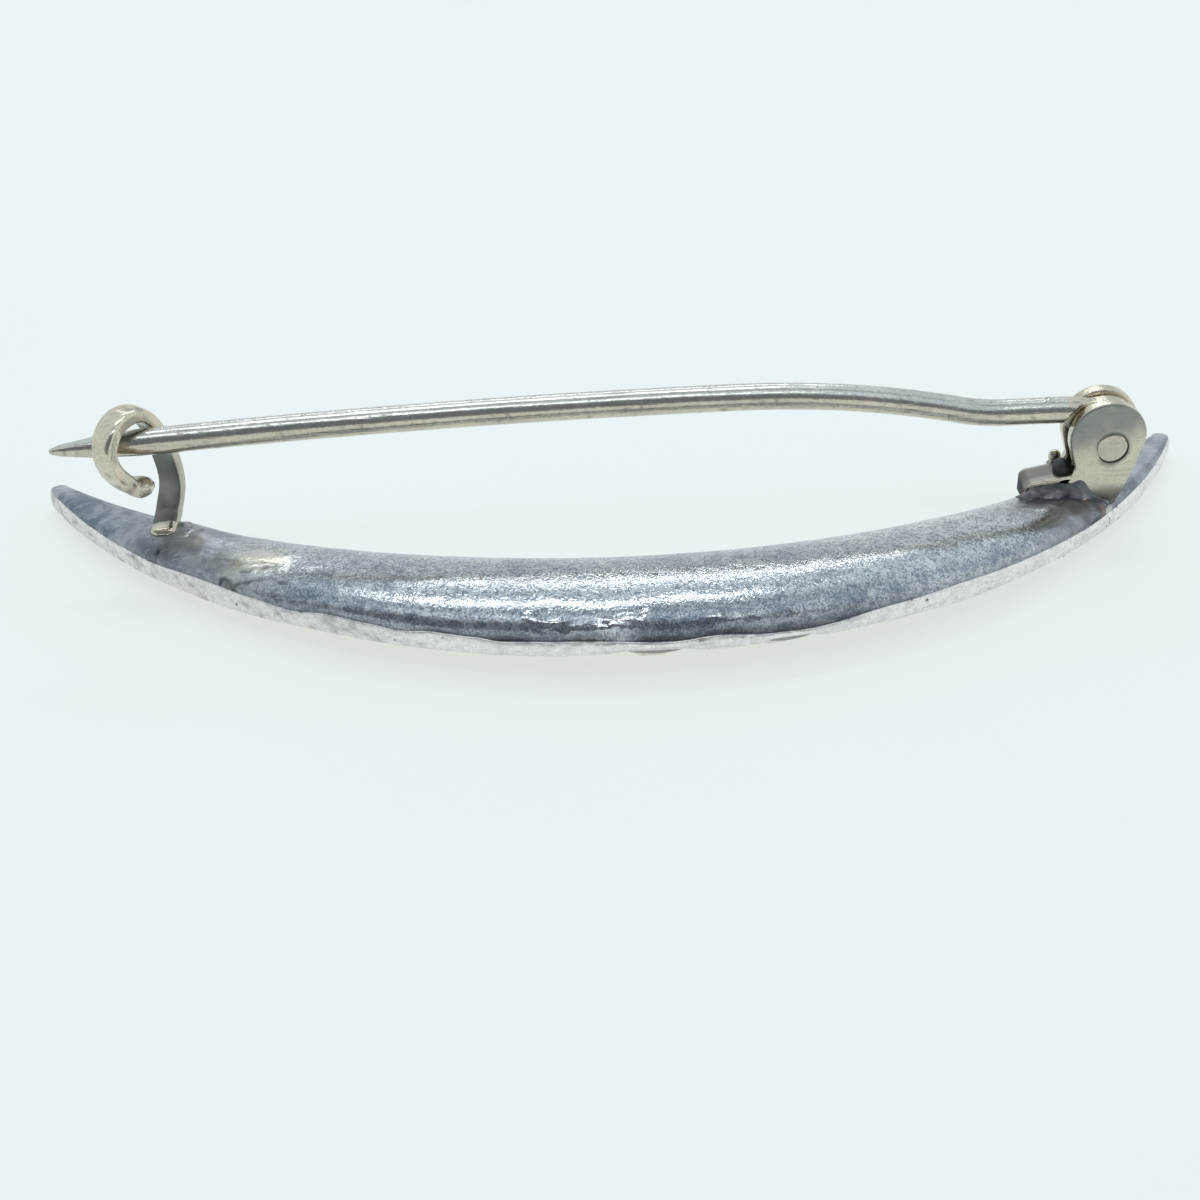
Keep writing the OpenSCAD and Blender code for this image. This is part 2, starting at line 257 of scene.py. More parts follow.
def lattice_noise(points, cell, seed):
    """Smooth noise from -1 to 1: random values on a cubic lattice of that cell, eased between neighbours."""
    size = 32
    table = np.random.default_rng(seed).uniform(-1, 1, (size, size, size))
    scaled = np.asarray(points, float) / cell
    base = np.floor(scaled).astype(int)
    part = scaled - base
    part = part * part * (3 - 2 * part)
    total = np.zeros(scaled.shape[:-1])
    for corner in np.ndindex(2, 2, 2):
        weight = np.prod(np.where(np.array(corner) == 1, part, 1 - part), axis=-1)
        x, y, z = np.moveaxis((base + corner) % size, -1, 0)
        total += weight * table[x, y, z]
    return total


def eased(x, rows):
    """Value of a two-column table at x: level at each row, and a smooth step between two rows."""
    rows = np.asarray(rows, float)
    i = np.clip(np.searchsorted(rows[:, 0], x) - 1, 0, len(rows) - 2)
    t = np.clip((x - rows[i, 0]) / (rows[i + 1, 0] - rows[i, 0]), 0, 1)
    return rows[i, 1] + (rows[i + 1, 1] - rows[i, 1]) * t * t * (3 - 2 * t)


def smooth_step(x, low, high):
    """0 at low and 1 at high, level past them, and a smooth step between."""
    t = np.clip((x - low) / (high - low), 0, 1)
    return t * t * (3 - 2 * t)


def curve_through(rows, steps):
    """Smooth curve through a table's rows: a Catmull-Rom spline, for all its steps at once."""
    rows = np.asarray(rows, float)
    last = len(rows) - 1
    u = np.linspace(0, last, last * steps + 1)
    i = np.minimum(u.astype(int), last - 1)
    t = (u - i)[:, None]
    p0, p1, p2, p3 = (rows[np.clip(i + k, 0, last)] for k in (-1, 0, 1, 2))
    return 0.5 * (2 * p1 + (p2 - p0) * t + (2 * p0 - 5 * p1 + 4 * p2 - p3) * t ** 2
                  + (3 * p1 - p0 - 3 * p2 + p3) * t ** 3)


def signed_power(x, exponent):
    """A power of the size of x, with the sign of x."""
    return np.sign(x) * np.abs(x) ** exponent


def unit(vectors):
    """Vectors at length 1."""
    return vectors / np.maximum(np.linalg.norm(vectors, axis=-1, keepdims=True), 1e-12)


def bump_at(points, centre, radius):
    """A round hill of height 1 about a centre: the bell curve of the distance over the radius."""
    offset = np.asarray(points)[..., :len(centre)] - np.asarray(centre, float)
    return np.exp(-np.sum(offset ** 2, axis=-1) / radius ** 2)


def hills(points, rows):
    """Sum of round hills, each row a centre in plan or in space, a radius and a height."""
    return sum(row[-1] * bump_at(points, row[:-2], row[-2]) for row in rows)


def from_line(points, line):
    """Distance from each point to a bent line in plan: the least distance to any of its straight parts."""
    flat = np.asarray(points)[..., None, :2]
    line = np.asarray(line, float)
    start, run = line[:-1], np.diff(line, axis=0)
    t = np.clip(np.sum((flat - start) * run, -1) / np.sum(run ** 2, -1), 0, 1)
    return np.linalg.norm(flat - start - t[..., None] * run, axis=-1).min(-1)


# Meshes from grids

def grid_faces(rows, columns, round_rows=False, round_columns=False):
    """Quads between neighbours on a grid of points, which may close on itself either way."""
    i = np.arange(rows if round_rows else rows - 1)[:, None]
    j = np.arange(columns if round_columns else columns - 1)[None, :]
    next_i = (i + 1) % rows
    next_j = (j + 1) % columns
    corners = np.broadcast_arrays(
        i * columns + j, i * columns + next_j, next_i * columns + next_j, next_i * columns + j)
    return np.stack(corners, -1).reshape(-1, 4)


def skin(points):
    """Closed skin of a grid whose rows are rings, with a flat face at each end."""
    rows, columns = points.shape[:2]
    faces = grid_faces(rows, columns, round_columns=True).tolist()
    faces.append(list(range(columns)))
    faces.append([(rows - 1) * columns + j for j in range(columns)])
    return points.reshape(-1, 3), faces


def ring_skin(points):
    """Closed skin of a grid that closes on itself both ways."""
    rows, columns = points.shape[:2]
    return points.reshape(-1, 3), grid_faces(rows, columns, True, True).tolist()


def joined(parts):
    """One list of points and faces from several."""
    points, faces, start = [], [], 0
    for part_points, part_faces in parts:
        points.append(part_points)
        faces += [[start + k for k in face] for face in part_faces]
        start += len(part_points)
    return np.concatenate(points), faces


def grid_normals(points, round_columns=True):
    """Unit normals of a grid: the cross product of the steps along its rows and its columns."""
    if round_columns:
        wide = np.concatenate([points[:, -1:], points, points[:, :1]], axis=1)
        across = (wide[:, 2:] - wide[:, :-2]) / 2
    else:
        across = np.gradient(points, axis=1)
    along = np.gradient(points, axis=0)
    return unit(np.cross(along, across))


def laid(points, plan):
    """Points in the frame, in metres."""
    return (points - [0, plan.depth / 2, 0]) * MM


def new_object(name, data):
    """A new object with its data, in the scene."""
    made = bpy.data.objects.new(name, data)
    bpy.context.scene.collection.objects.link(made)
    return made


def shade_smooth(mesh):
    """Smooth shading, but for the hard edges."""
    mesh.polygons.foreach_set("use_smooth", np.ones(len(mesh.polygons), bool))
    mesh.set_sharp_from_angle(angle=SHARP)


def make_piece(name, shape, plan, finish, body, replaced, masks=None):
    """Lays a shape in the frame as a piece: doubles are merged, faces turned outwards, hard edges kept."""
    points, faces = shape
    mesh = bpy.data.meshes.new(name)
    mesh.from_pydata(laid(points, plan), [], faces)
    for mask, values in (masks or {}).items():
        layer = mesh.attributes.new(mask, "FLOAT", "POINT")
        layer.data.foreach_set("value", np.asarray(values, np.float32).ravel())
    clean = bmesh.new()
    clean.from_mesh(mesh)
    bmesh.ops.remove_doubles(clean, verts=clean.verts, dist=DOUBLES)
    bmesh.ops.dissolve_degenerate(clean, edges=clean.edges, dist=SLIVERS)
    bmesh.ops.recalc_face_normals(clean, faces=clean.faces)
    clean.to_mesh(mesh)
    clean.free()
    shade_smooth(mesh)
    mesh.materials.append(materials()[finish])
    piece = new_object(name, mesh)
    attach(piece, body)
    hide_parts(*replaced)
    return piece


def sweep(line, across, outwards, section, size):
    """Carries a section along a line: point + size * (u * across + v * outwards), for every u, v of it."""
    u = section[:, 0][None, :, None]
    v = section[:, 1][None, :, None]
    return line[:, None] + size[:, None, None] * (u * across[:, None] + v * outwards[:, None])


def soft_box(width, height, count, power):
    """Section with rounded corners: a superellipse, |2u / width| ^ power + |2v / height| ^ power = 1."""
    turn = np.linspace(0, 2 * np.pi, count, endpoint=False)
    return np.stack([width / 2 * signed_power(np.cos(turn), 2 / power),
                     height / 2 * signed_power(np.sin(turn), 2 / power)], -1)


def blob(centre, radii, turn, seed, rough, rings=14, sides=24):
    """Lump of solder: an ellipsoid by latitude and longitude, turned about the vertical, rough with noise."""
    lift = np.linspace(-np.pi / 2, np.pi / 2, rings)[:, None]
    side = np.linspace(0, 2 * np.pi, sides, endpoint=False)[None, :]
    ball = np.stack([np.cos(lift) * np.cos(side), np.cos(lift) * np.sin(side), np.sin(lift) + 0 * side], -1)
    ball = ball * (1 + rough * lattice_noise(ball, 0.7, seed))[..., None]
    x, y, z = np.moveaxis(ball * radii, -1, 0)
    cosine, sine = math.cos(turn), math.sin(turn)
    turned = np.stack([x * cosine - y * sine, x * sine + y * cosine, z], -1)
    return skin(turned + np.asarray(centre, float))


def lathe(profile, sides, axis="Z"):
    """Closed body of revolution: profile points (radius, height) turned about the axis."""
    turn = np.linspace(0, 2 * np.pi, sides, endpoint=False)[:, None]
    radius = profile[:, 0][None, :]
    height = profile[:, 1][None, :] + 0 * turn
    if axis == "Z":
        return np.stack([radius * np.cos(turn), radius * np.sin(turn), height], -1)
    return np.stack([radius * np.cos(turn), height, radius * np.sin(turn)], -1)


# Back shell

# How far the seam on the outer side stands above its even line, along the brooch
SEAM_ROWS = [
    # x, lift
    (-24, 0.0), (-19, 0.05), (-16.3, 0.22), (-14.7, 0.12), (-13.2, 0.03), (-11.7, 0.2), (-10.4, 0.13),
    (-9.2, 0.03), (-8, 0.13), (-6.6, 0.07), (-5.5, -0.05), (-4.1, 0.0), (-2.4, 0.05), (0.5, -0.08),
    (2.2, 0.04), (4.3, -0.15), (5.6, -0.19), (9.1, 0.1), (11.6, 0.18), (14.7, 0.1), (18.3, 0.02), (24, 0.0),
]
# How far the rim's lower edge stands above its even line
EDGE_ROWS = [
    # x, lift
    (-24, 0.0), (-18, -0.08), (-15, -0.14), (-12, -0.1), (-9.2, -0.15), (-5.8, -0.17), (-3.8, -0.16),
    (-2.2, -0.08), (-0.8, 0.04), (0.9, 0.03), (2.0, -0.1), (3.6, -0.09), (4.4, 0.06), (5.3, 0.05),
    (6.3, -0.1), (9.1, -0.1), (12, -0.15), (15.5, -0.08), (19, -0.1), (24, 0.0),
]
# Depth of the crease between rim and back, as a share of its full depth
CREASE_ROWS = [
    # x, share
    (-24, 0.1), (-15, 0.15), (-11, 0.5), (-6, 0.9), (0, 1.0), (6, 0.9), (9, 0.45), (13, 0.25), (17, 0.3),
    (24, 0.15),
]
# Mounds and hollows of the back
SHELL_BUMPS = [
    # x, y, radius, height
    (-17.7, 9.4, 1.1, 0.16), (-18.6, 9.1, 0.8, 0.1), (-16.6, 8.6, 0.55, 0.08), (-17.3, 8.3, 0.3, -0.06),
    (-16.1, 7.2, 0.6, -0.07), (-15.0, 6.0, 0.75, 0.11), (-14.1, 5.85, 0.6, 0.08), (-15.9, 6.3, 0.35, -0.05),
    (-13.3, 5.4, 0.5, -0.05), (17.6, 8.2, 1.5, 0.12), (15.6, 7.1, 0.9, -0.04), (-3.6, 0.55, 0.8, -0.05),
    (-1.6, 0.35, 0.9, 0.035), (1.2, 0.45, 0.8, -0.04), (4.2, 0.7, 0.9, 0.03), (7.0, 1.6, 1.2, -0.035),
    (-7.6, 1.7, 1.3, -0.04), (-10.6, 3.0, 1.0, 0.03), (10.4, 3.4, 1.1, 0.03), (-8.9, 3.9, 0.8, -0.02),
]
# Where the old solder has left the back rough
ROUGH_SPOTS = [
    # x, y, radius, strength
    (-15.6, 6.5, 2.4, 1), (17.4, 8, 1.8, 1),
]
# Cracks and steps in the old solder
SHELL_CRACKS = [
    # points in plan, depth
    ([(-15.75, 5.51), (-15.3, 5.12), (-14.73, 4.98), (-13.9, 4.84), (-13.33, 4.36)], 0.035),
    ([(-15.04, 5.5), (-14.75, 5.38), (-14.5, 5.42), (-14.2, 5.36), (-13.84, 5.44)], 0.025),
    ([(-18.32, 8.01), (-18.36, 7.86), (-18.41, 7.75)], 0.04),
    ([(-3.4, 0.42), (-3.0, 0.3), (-2.3, 0.27)], 0.02),
    ([(2.4, 0.36), (3.4, 0.5), (4.5, 0.6)], 0.015),
]
# Little ridges low on the outer side that catch the light; a painted highlight in the colour runs along them
# too
SHELL_RIDGES = [
    # points in plan, height
    ([(-4.67, 0.86), (-4.0, 0.58), (-3.45, 0.47)], 0.035),
    ([(-3.11, 0.3), (-2.2, 0.2), (-1.2, 0.22), (-0.43, 0.3)], 0.05),
    ([(-1.9, 0.42), (-1.2, 0.4), (-0.3, 0.48)], 0.035),
    ([(1.99, 0.36), (3.0, 0.4), (3.8, 0.5), (4.48, 0.64)], 0.04),
    ([(4.9, 0.75), (5.6, 0.9), (6.3, 1.12)], 0.025),
]
# Heat stain, clean solder, dirt with painted shade, and bare copper on the back
STAIN_SPOTS = [
    # x, y, radius, strength
    (16.9, 7.9, 2.3, 1.2), (-17.4, 8.3, 2.0, 1),
]
SOLDER_SPOTS = [
    # x, y, radius, strength
    (-14.7, 5.85, 0.95, 1), (-13.7, 5.75, 0.7, 0.7), (-16.9, 8.2, 0.5, 0.6),
]
# Darker spots round the feet of the hinge and the catch; the strongest, at 18.08, 7.98, is painted shade in
# the hole under the ear
DIRT_AND_SHADE_SPOTS = [
    # x, y, radius, strength
    (17.4, 7.75, 0.75, 1), (16.2, 7.55, 0.6, 1), (18.3, 7.8, 0.5, 1), (18.08, 7.98, 0.26, 1.6),
    (-17.5, 8.6, 0.55, 0.9), (-16.5, 7.6, 0.5, 0.6), (-18.3, 8.1, 0.5, 0.5), (-15.9, 6.7, 0.45, 0.5),
]
COPPER_SPOTS = [
    # x, y, radius, strength
    (17.75, 7.98, 0.22, 1), (18.4, 7.88, 0.22, 1),
]
# Rows and columns of the back's grid
SHELL_ROWS = 740
SHELL_COLUMNS = 100
INNER_COLUMNS = 22
# Wall between the back's outer and inner skin
SHELL_WALL = 0.22
# The foot of the dome stands this far inside the rim, its inner skin hangs lower, and the crease cuts in
SHELL_INSET = 0.04
INNER_DROP = 0.1
CREASE_DEPTH = 0.09


def shell_line(plan, turn, angle, width, inset, drop):
    """Superellipse section on every station: across by cos, up by sin, to the power 2 / dome_power."""
    half = np.maximum(width / 2 - inset, 0.02)[:, None]
    rise = np.maximum(plan.dome * (width / plan.middle) ** plan.taper - drop, 0.01)[:, None]
    out = half * signed_power(np.cos(turn), 2 / plan.dome_power)
    x, y = plan.flat(plan.middle_radius(angle, width)[:, None] + out, angle[:, None])
    up = np.abs(np.sin(turn)) ** (2 / plan.dome_power)
    outer_side = smooth_step(np.cos(turn), 0.2, 0.9)
    lift = eased(x, SEAM_ROWS) * outer_side * (1 - up) ** 2
    return np.stack([x, y, plan.seam(y) + rise * up + lift], -1)


def crack_at(points, line, width):
    """A crack about a bent line: a narrow bell curve whose path and depth waver with the noise."""
    waver = 0.07 * np.stack([lattice_noise(points, 0.22, 15), lattice_noise(points, 0.22, 16)], -1)
    depth = 0.65 + 0.5 * lattice_noise(points, 0.3, 18)
    return depth * np.exp(-(from_line(points[..., :2] + waver, line) / width) ** 2)


def shell_relief(points):
    """Height of the hand-worked surface: slow and fine noise, mounds, hollows, cracks and ridges."""
    relief = 0.016 * lattice_noise(points * [0.6, 1, 1], 1.7, 3) + 0.006 * lattice_noise(points, 0.7, 5)
    relief += 0.002 * lattice_noise(points, 0.27, 7)
    relief += hills(points, SHELL_BUMPS)
    crumbs = 0.02 * lattice_noise(points, 0.33, 11) + 0.012 * lattice_noise(points, 0.16, 13)
    relief += hills(points, ROUGH_SPOTS) * crumbs
    for line, depth in SHELL_CRACKS:
        relief -= 1.3 * depth * crack_at(points, line, 0.065)
    for line, height in SHELL_RIDGES:
        relief += 1.6 * height * crack_at(points, line, 0.11)
    return relief


def back_shell(plan):
    """Domed back: an outer skin with its relief and a smooth inner one, closed at both horns."""
    angle, width = plan.stations(SHELL_ROWS)
    turn = np.linspace(0, np.pi, SHELL_COLUMNS)[None, :]
    inner_turn = np.linspace(np.pi, 0, INNER_COLUMNS)[None, :]
    outside = shell_line(plan, turn, angle, width, SHELL_INSET, 0)
    normals = grid_normals(outside, round_columns=False)
    normals *= np.sign(normals[..., 2:3] + 1e-9)
    above_foot = smooth_step(np.sin(turn), 0.0, 0.3) * smooth_step(width, 0.4, 1.4)[:, None]
    outside = outside + normals * (above_foot * shell_relief(outside))[..., None]
    crease = eased(outside[..., 0], CREASE_ROWS)
    crease = crease * (0.75 + 0.35 * lattice_noise(outside * [1, 0, 0], 1.3, 17))
    groove = CREASE_DEPTH * (1 - smooth_step(np.sin(turn), 0.0, 0.16)) * np.sign(np.cos(turn))
    shift = groove * smooth_step(width, 0.5, 1.6)[:, None] * crease
    outside[..., 0] -= shift * np.sin(angle)[:, None]
    outside[..., 1] += shift * np.cos(angle)[:, None]
    inside = shell_line(plan, inner_turn, angle, width, SHELL_WALL, SHELL_WALL)
    inside[..., 2] -= INNER_DROP
    points = np.concatenate([outside, inside], axis=1)
    masks = shell_masks(points)
    # Painted shade: darker in the crease between rim and back, and the hidden inner skin painted fully dark
    crease_shade = (1 - smooth_step(np.sin(turn), 0.03, 0.3)) * np.clip(crease, 0.1, 1)
    hidden = np.ones(inside.shape[:2])
    masks["dirt"] = np.clip(masks["dirt"] + 0.8 * np.concatenate([crease_shade, hidden], axis=1), 0, 1)
    # Painted shade and painted highlight on the outer skin, none on the hidden inner skin
    masks["shade"] = np.concatenate([shell_shade(outside, turn), 0 * hidden], axis=1)
    masks["calm"] = smooth_step(np.abs(points[..., 0]), 14.2, 17.5)
    return skin(points), masks


def shell_shade(points, turn):
    """Painted shade on the back, from 1 to -0.8: darker low on the outer side, at the left, on the far side
    and at the horns, lighter at the right, and a painted highlight below zero along the ridges.
    """
    x = points[..., 0]
    shade = (1 - smooth_step(np.sin(turn), 0.45, 0.82)) * (np.cos(turn) > 0)
    shade = shade + 0.4 * smooth_step(-x, 7, 12) - 0.42 * smooth_step(x, 5, 10)
    shade = shade + 0.25 * smooth_step(-np.cos(turn), 0.08, 0.36) + 0.9 * smooth_step(np.abs(x), 16.5, 20)
    # Painted highlight: the shade goes below zero along the little ridges
    rubbed = sum(crack_at(points, line, 0.12) for line, _ in SHELL_RIDGES)
    return np.clip(np.minimum(shade, 1) - 1.7 * rubbed, -0.8, 1)


def shell_masks(points):
    """Where the back carries dark cracks and spots, some of them painted shade, a heat stain, solder or bare
    copper, from 0 to 1.
    """
    uneven = 0.5 + 0.5 * lattice_noise(points, 0.45, 21)
    stain = hills(points, STAIN_SPOTS)
    crack = sum(crack_at(points, line, 0.07) * min(1.3, depth / 0.03) for line, depth in SHELL_CRACKS)
    spots = 0.25 * stain + 0.7 * hills(points, DIRT_AND_SHADE_SPOTS)
    return {
        "dirt": np.clip(crack + spots * uneven, 0, 1),
        "stain": np.clip(stain * (0.55 + 0.6 * uneven), 0, 1),
        "solder": np.clip(hills(points, SOLDER_SPOTS) * (0.4 + uneven), 0, 1),
        "copper": np.clip(hills(points, COPPER_SPOTS) * (0.6 + uneven) - 0.45, 0, 1),
    }


# Setting: rim, front face, round walls and grains

RIM_ROWS = 520
# Rounding of the rim's two edges and the bulge of its band
TOP_ROUND = 0.08
LOW_ROUND = 0.09
BAND_BULGE = 0.035
# Burrs and dents of the rim
RIM_BURRS = [
    # x, y, z, radius, height
    (18.1, 7.3, 1.15, 0.1, 0.12), (16.4, 5.9, 0.9, 0.09, 0.1), (12.6, 3.2, 1.1, 0.1, 0.07),
    (8.9, 1.5, 1.3, 0.12, 0.06), (-13.8, 3.9, 1.25, 0.16, 0.08), (-13.1, 3.4, 1.25, 0.14, 0.06),
    (5.2, 0.5, 1.6, 0.16, -0.05), (3.4, 0.2, 1.55, 0.1, -0.04), (-9.6, 1.8, 1.5, 0.12, -0.05),
]


def rim_section(plan, angle, width):
    """Loop round the rim on every station: outer side, front face, inner side and the hidden top."""
    arc = np.linspace(0, np.pi / 2, 6)
    wall = np.linspace(0, 1, 6)[1:-1]
    inset = np.concatenate([[0.3], TOP_ROUND * (1 - np.sin(arc)), -BAND_BULGE * np.sin(np.pi * wall),
                            LOW_ROUND * (1 - np.cos(arc))])
    share = np.concatenate([[1], np.ones(6), 1 - wall, np.zeros(6)])
    drop = np.concatenate([[0], -TOP_ROUND * (1 - np.cos(arc)), 0 * wall, LOW_ROUND * (1 - np.sin(arc))])
    face = np.linspace(1, -1, 9)[1:-1]
    half = (width / 2)[:, None]
    reach = half - np.minimum(inset[None, :], half * 0.8)
    sides = np.concatenate([reach, (half - 0.3 * np.minimum(half, 1)) * face, -reach[:, ::-1]], axis=1)
    shares = np.concatenate([share, 0 * face, share[::-1]])[None, :]
    drops = np.concatenate([drop, 0 * face, drop[::-1]])[None, :]
    drops = drops * np.minimum(1, width / 1.2)[:, None]
    x, y = plan.flat(plan.middle_radius(angle, width)[:, None] + sides, angle[:, None])
    outer_side = smooth_step(sides / half, 0.3, 0.8)
    low = plan.front(y) + eased(x, EDGE_ROWS) * outer_side
    high = plan.seam(y) + eased(x, SEAM_ROWS) * outer_side - 0.01
    return np.stack([x, y, low + (high - low) * shares + drops], -1)


def rim_relief(points):
    """Worn edge of the rim: slow waves, file marks and a few burrs."""
    waves = 0.016 * lattice_noise(points * [1, 1, 0.6], 0.9, 31) + 0.007 * lattice_noise(points, 0.3, 33)
    return waves + hills(points, RIM_BURRS)


def wells(plan):
    """Round wells for the stones, from below the front face into the hollow back."""
    parts = []
    for angle in plan.stones:
        radius = 1.04 * plan.stone_radius(angle)
        x, y = plan.flat(plan.row_radius(angle), angle)
        profile = np.array([(radius, -1.0), (radius, plan.seam(0) + 0.6)])
        tube = lathe(profile, 48).transpose(1, 0, 2) + [x, y, 0]
        parts.append(skin(tube))
    return joined(parts)


def setting_rim(plan):
    """Rim and front face as one closed skin along the crescent."""
    angle, width = plan.stations(RIM_ROWS)
    points = rim_section(plan, angle, width)
    normals = -grid_normals(points)
    relief = rim_relief(points) * smooth_step(width, 0.3, 1)[:, None]
    side = np.abs(normals[..., 2]) < 0.8
    return skin(points + normals * (relief * side)[..., None])


def rim_masks(points):
    """Dull veins on the rim, denser towards the left horn."""
    veins = lattice_noise(points * [1, 1, 1.6], 0.35, 35) + 0.5 * lattice_noise(points, 0.14, 36)
    left = smooth_step(-points[:, 0], 6, 14)
    return {"dirt": np.clip(0.12 * left + (0.08 + 0.3 * left) * smooth_step(veins, 0.1, 0.7), 0, 1)}


def cut_wells(piece, plan):
    """Cuts the wells out of the front face."""
    points, faces = wells(plan)
    mesh = bpy.data.meshes.new("wells")
    mesh.from_pydata(laid(points, plan), [], faces)
    tool = new_object("wells", mesh)
    cut = piece.modifiers.new("wells", "BOOLEAN")
    cut.operation = "DIFFERENCE"
    cut.solver = "EXACT"
    cut.use_self = True
    cut.object = tool
    bpy.context.view_layer.update()
    cut_mesh = bpy.data.meshes.new_from_object(piece.evaluated_get(bpy.context.evaluated_depsgraph_get()))
    piece.modifiers.clear()
    before = len(piece.data.polygons)
    piece.data = cut_mesh
    bpy.data.objects.remove(tool)
    if len(cut_mesh.polygons) in (0, before):
        raise RuntimeError("the wells were not cut")
    places = np.empty(3 * len(cut_mesh.vertices))
    cut_mesh.vertices.foreach_get("co", places)
    if places[2::3].max() > (plan.seam(0) + 0.5) * MM:
        raise RuntimeError("a well's end was left standing")
    shade_smooth(cut_mesh)


def collet(plan, angle):
    """Round wall of a stone: up the outside, over a rolled lip to the girdle, then the cup behind it."""
    r = float(plan.stone_radius(angle))
    x, y = plan.flat(plan.row_radius(angle), angle)
    girdle = plan.crown_share * r
    shoulder = girdle + plan.girdle_share * r + plan.seat_gap
    cup = shoulder + plan.pavilion_share * r
    wall = plan.wall_share * r
    lip = wall - 0.95 * r
    roll = np.linspace(0, np.pi, 9)
    low = girdle + 0.01 * r
    rolled = np.stack([wall - lip / 2 + lip / 2 * np.cos(roll), low - 0.3 * lip * np.sin(roll)], -1)
    foot = float(plan.front(y)) + 0.12
    seat = r + 0.03
    profile = np.concatenate([
        [(0, cup + 0.12), (wall * 0.55, cup + 0.06), (wall, max(foot, shoulder) + 0.05)],
        rolled,
        [(seat, girdle), (seat, shoulder), (plan.culet_share * r + 0.03, cup), (0, cup)],
    ])
    return skin(lathe(profile, 56).transpose(1, 0, 2) + [x, y, 0])


def collet_masks(plan, shape):
    """The cup behind each stone is foil, and the walls are darker from a little below the front face up into
    the back.
    """
    points = shape[0]
    foil = np.zeros(len(points))
    dirt = np.zeros(len(points))
    per_stone = len(points) // len(plan.stones)
    for i, angle in enumerate(plan.stones):
        part = slice(i * per_stone, (i + 1) * per_stone)
        r = float(plan.stone_radius(angle))
        x, y = plan.flat(plan.row_radius(angle), angle)
        out = np.hypot(points[part, 0] - x, points[part, 1] - y)
        high = points[part, 2]
        front = float(plan.front(y))
        foil[part] = (out < 1.03 * r + 0.04) & (high > plan.crown_share * r - 0.001)
        dirt[part] = 0.7 * smooth_step(high, front - 0.35, front) * (out > 1.05 * r)
    return {"foil": foil, "dirt": dirt}


def grains(plan):
    """Beads of metal between the stones, two at each gap, each a little different in size."""
    parts = []
    draw = np.random.default_rng(41)
    for here, there in zip(plan.stones[:-1], plan.stones[1:]):
        angle = (here + there) / 2
        r = float(plan.stone_radius(angle))
        for side in (-1, 1):
            x, y = plan.flat(plan.row_radius(angle) + side * 0.55 * r, angle)
            size = (0.13 * r + 0.08) * draw.uniform(0.9, 1.08)
            centre = (x, y, plan.crown_share * r + draw.uniform(-0.03, 0.03))
            turn, seed = draw.uniform(0, 6), int(draw.integers(1, 99))
            parts.append(blob(centre, (size, size, size), turn, seed, 0.08, 10, 16))
    return joined(parts)


# Hinge bracket, seen along the rivet

# Centre and radius of the ears' round heads, and the outlines of what is under them, in x and z
EAR_HEAD = (18.47, 4.55)
EAR_RADIUS = 1.5
NECK_OUTLINE = [
    (16.96, 4.4), (17.3, 3.2), (17.0, 2.5), (16.7, 1.7), (19.0, 1.6), (19.55, 3.0), (19.93, 4.3),
]
BASE_CENTRE = (17.9, 2.2)
BASE_OUTLINE = [(16.6, 1.6), (16.6, 2.8), (16.9, 2.88), (19.3, 2.88), (19.05, 1.6)]
LUG_CENTRE = (16.2, 2.15)
LUG_OUTLINE = [(15.42, 1.7), (15.42, 2.5), (15.62, 2.66), (17.3, 2.98), (17.3, 1.7)]
LUG_WIDTH = 1.4
# The base and the lug start this far behind the near ear's front
BASE_START = 0.02
# Soft edges of the ears and how far the near one bulges
EAR_EDGE = 0.09
EAR_BULGE = 0.07
# Bead of solder on the lug: centre, half sizes, turn, seed, roughness
LUG_BEAD = ((16.86, 9.84, 3.08), (0.26, 0.2, 0.28), 0.4, 90, 0.1)
# Space between the rivet and the ears, and how far its heads stand out
RIVET_SPACE = 0.025
HEAD_STAND = 0.085
HEAD_DOME = 0.055


def pivot_of(sizes):
    """x and z of the rivet's axis."""
    return mm(sizes.pivot_place), mm(sizes.pivot_height)


def hinge_front(sizes):
    """y of the near ear's front."""
    return mm(sizes.pin_depth) - mm(sizes.slot_width) / 2 - mm(sizes.ear_thickness)


def directions(count):
    """Even directions about a centre."""
    return np.linspace(-np.pi, np.pi, count, endpoint=False)


def reach_of(outline, centre, turns):
    """Distance from a centre to a closed outline in every direction, along its straight sides."""
    corners = np.asarray(outline, float)
    run = np.roll(corners, -1, axis=0) - corners
    share = np.linspace(0, 1, 60, endpoint=False)[None, :, None]
    edge = (corners[:, None] + share * run[:, None]).reshape(-1, 2) - centre
    turn = np.arctan2(edge[:, 1], edge[:, 0])
    order = np.argsort(turn)
    return np.interp(turns, turn[order], np.linalg.norm(edge, axis=1)[order], period=2 * np.pi)


def disc_reach(centre, radius, pivot, turns):
    """Distance from a pivot to a circle in every direction."""
    offset = np.subtract(centre, pivot)
    along = offset[0] * np.cos(turns) + offset[1] * np.sin(turns)
    return along + np.sqrt(np.maximum(radius ** 2 - offset @ offset + along ** 2, 0))


def softened(reach, window):
    """Rounds the corners of an outline given as a distance in every direction."""
    weight = np.hanning(2 * window + 3)[1:-1]
    wide = np.concatenate([reach[-window:], reach, reach[:window]])
    return np.convolve(wide, weight / weight.sum(), "valid")


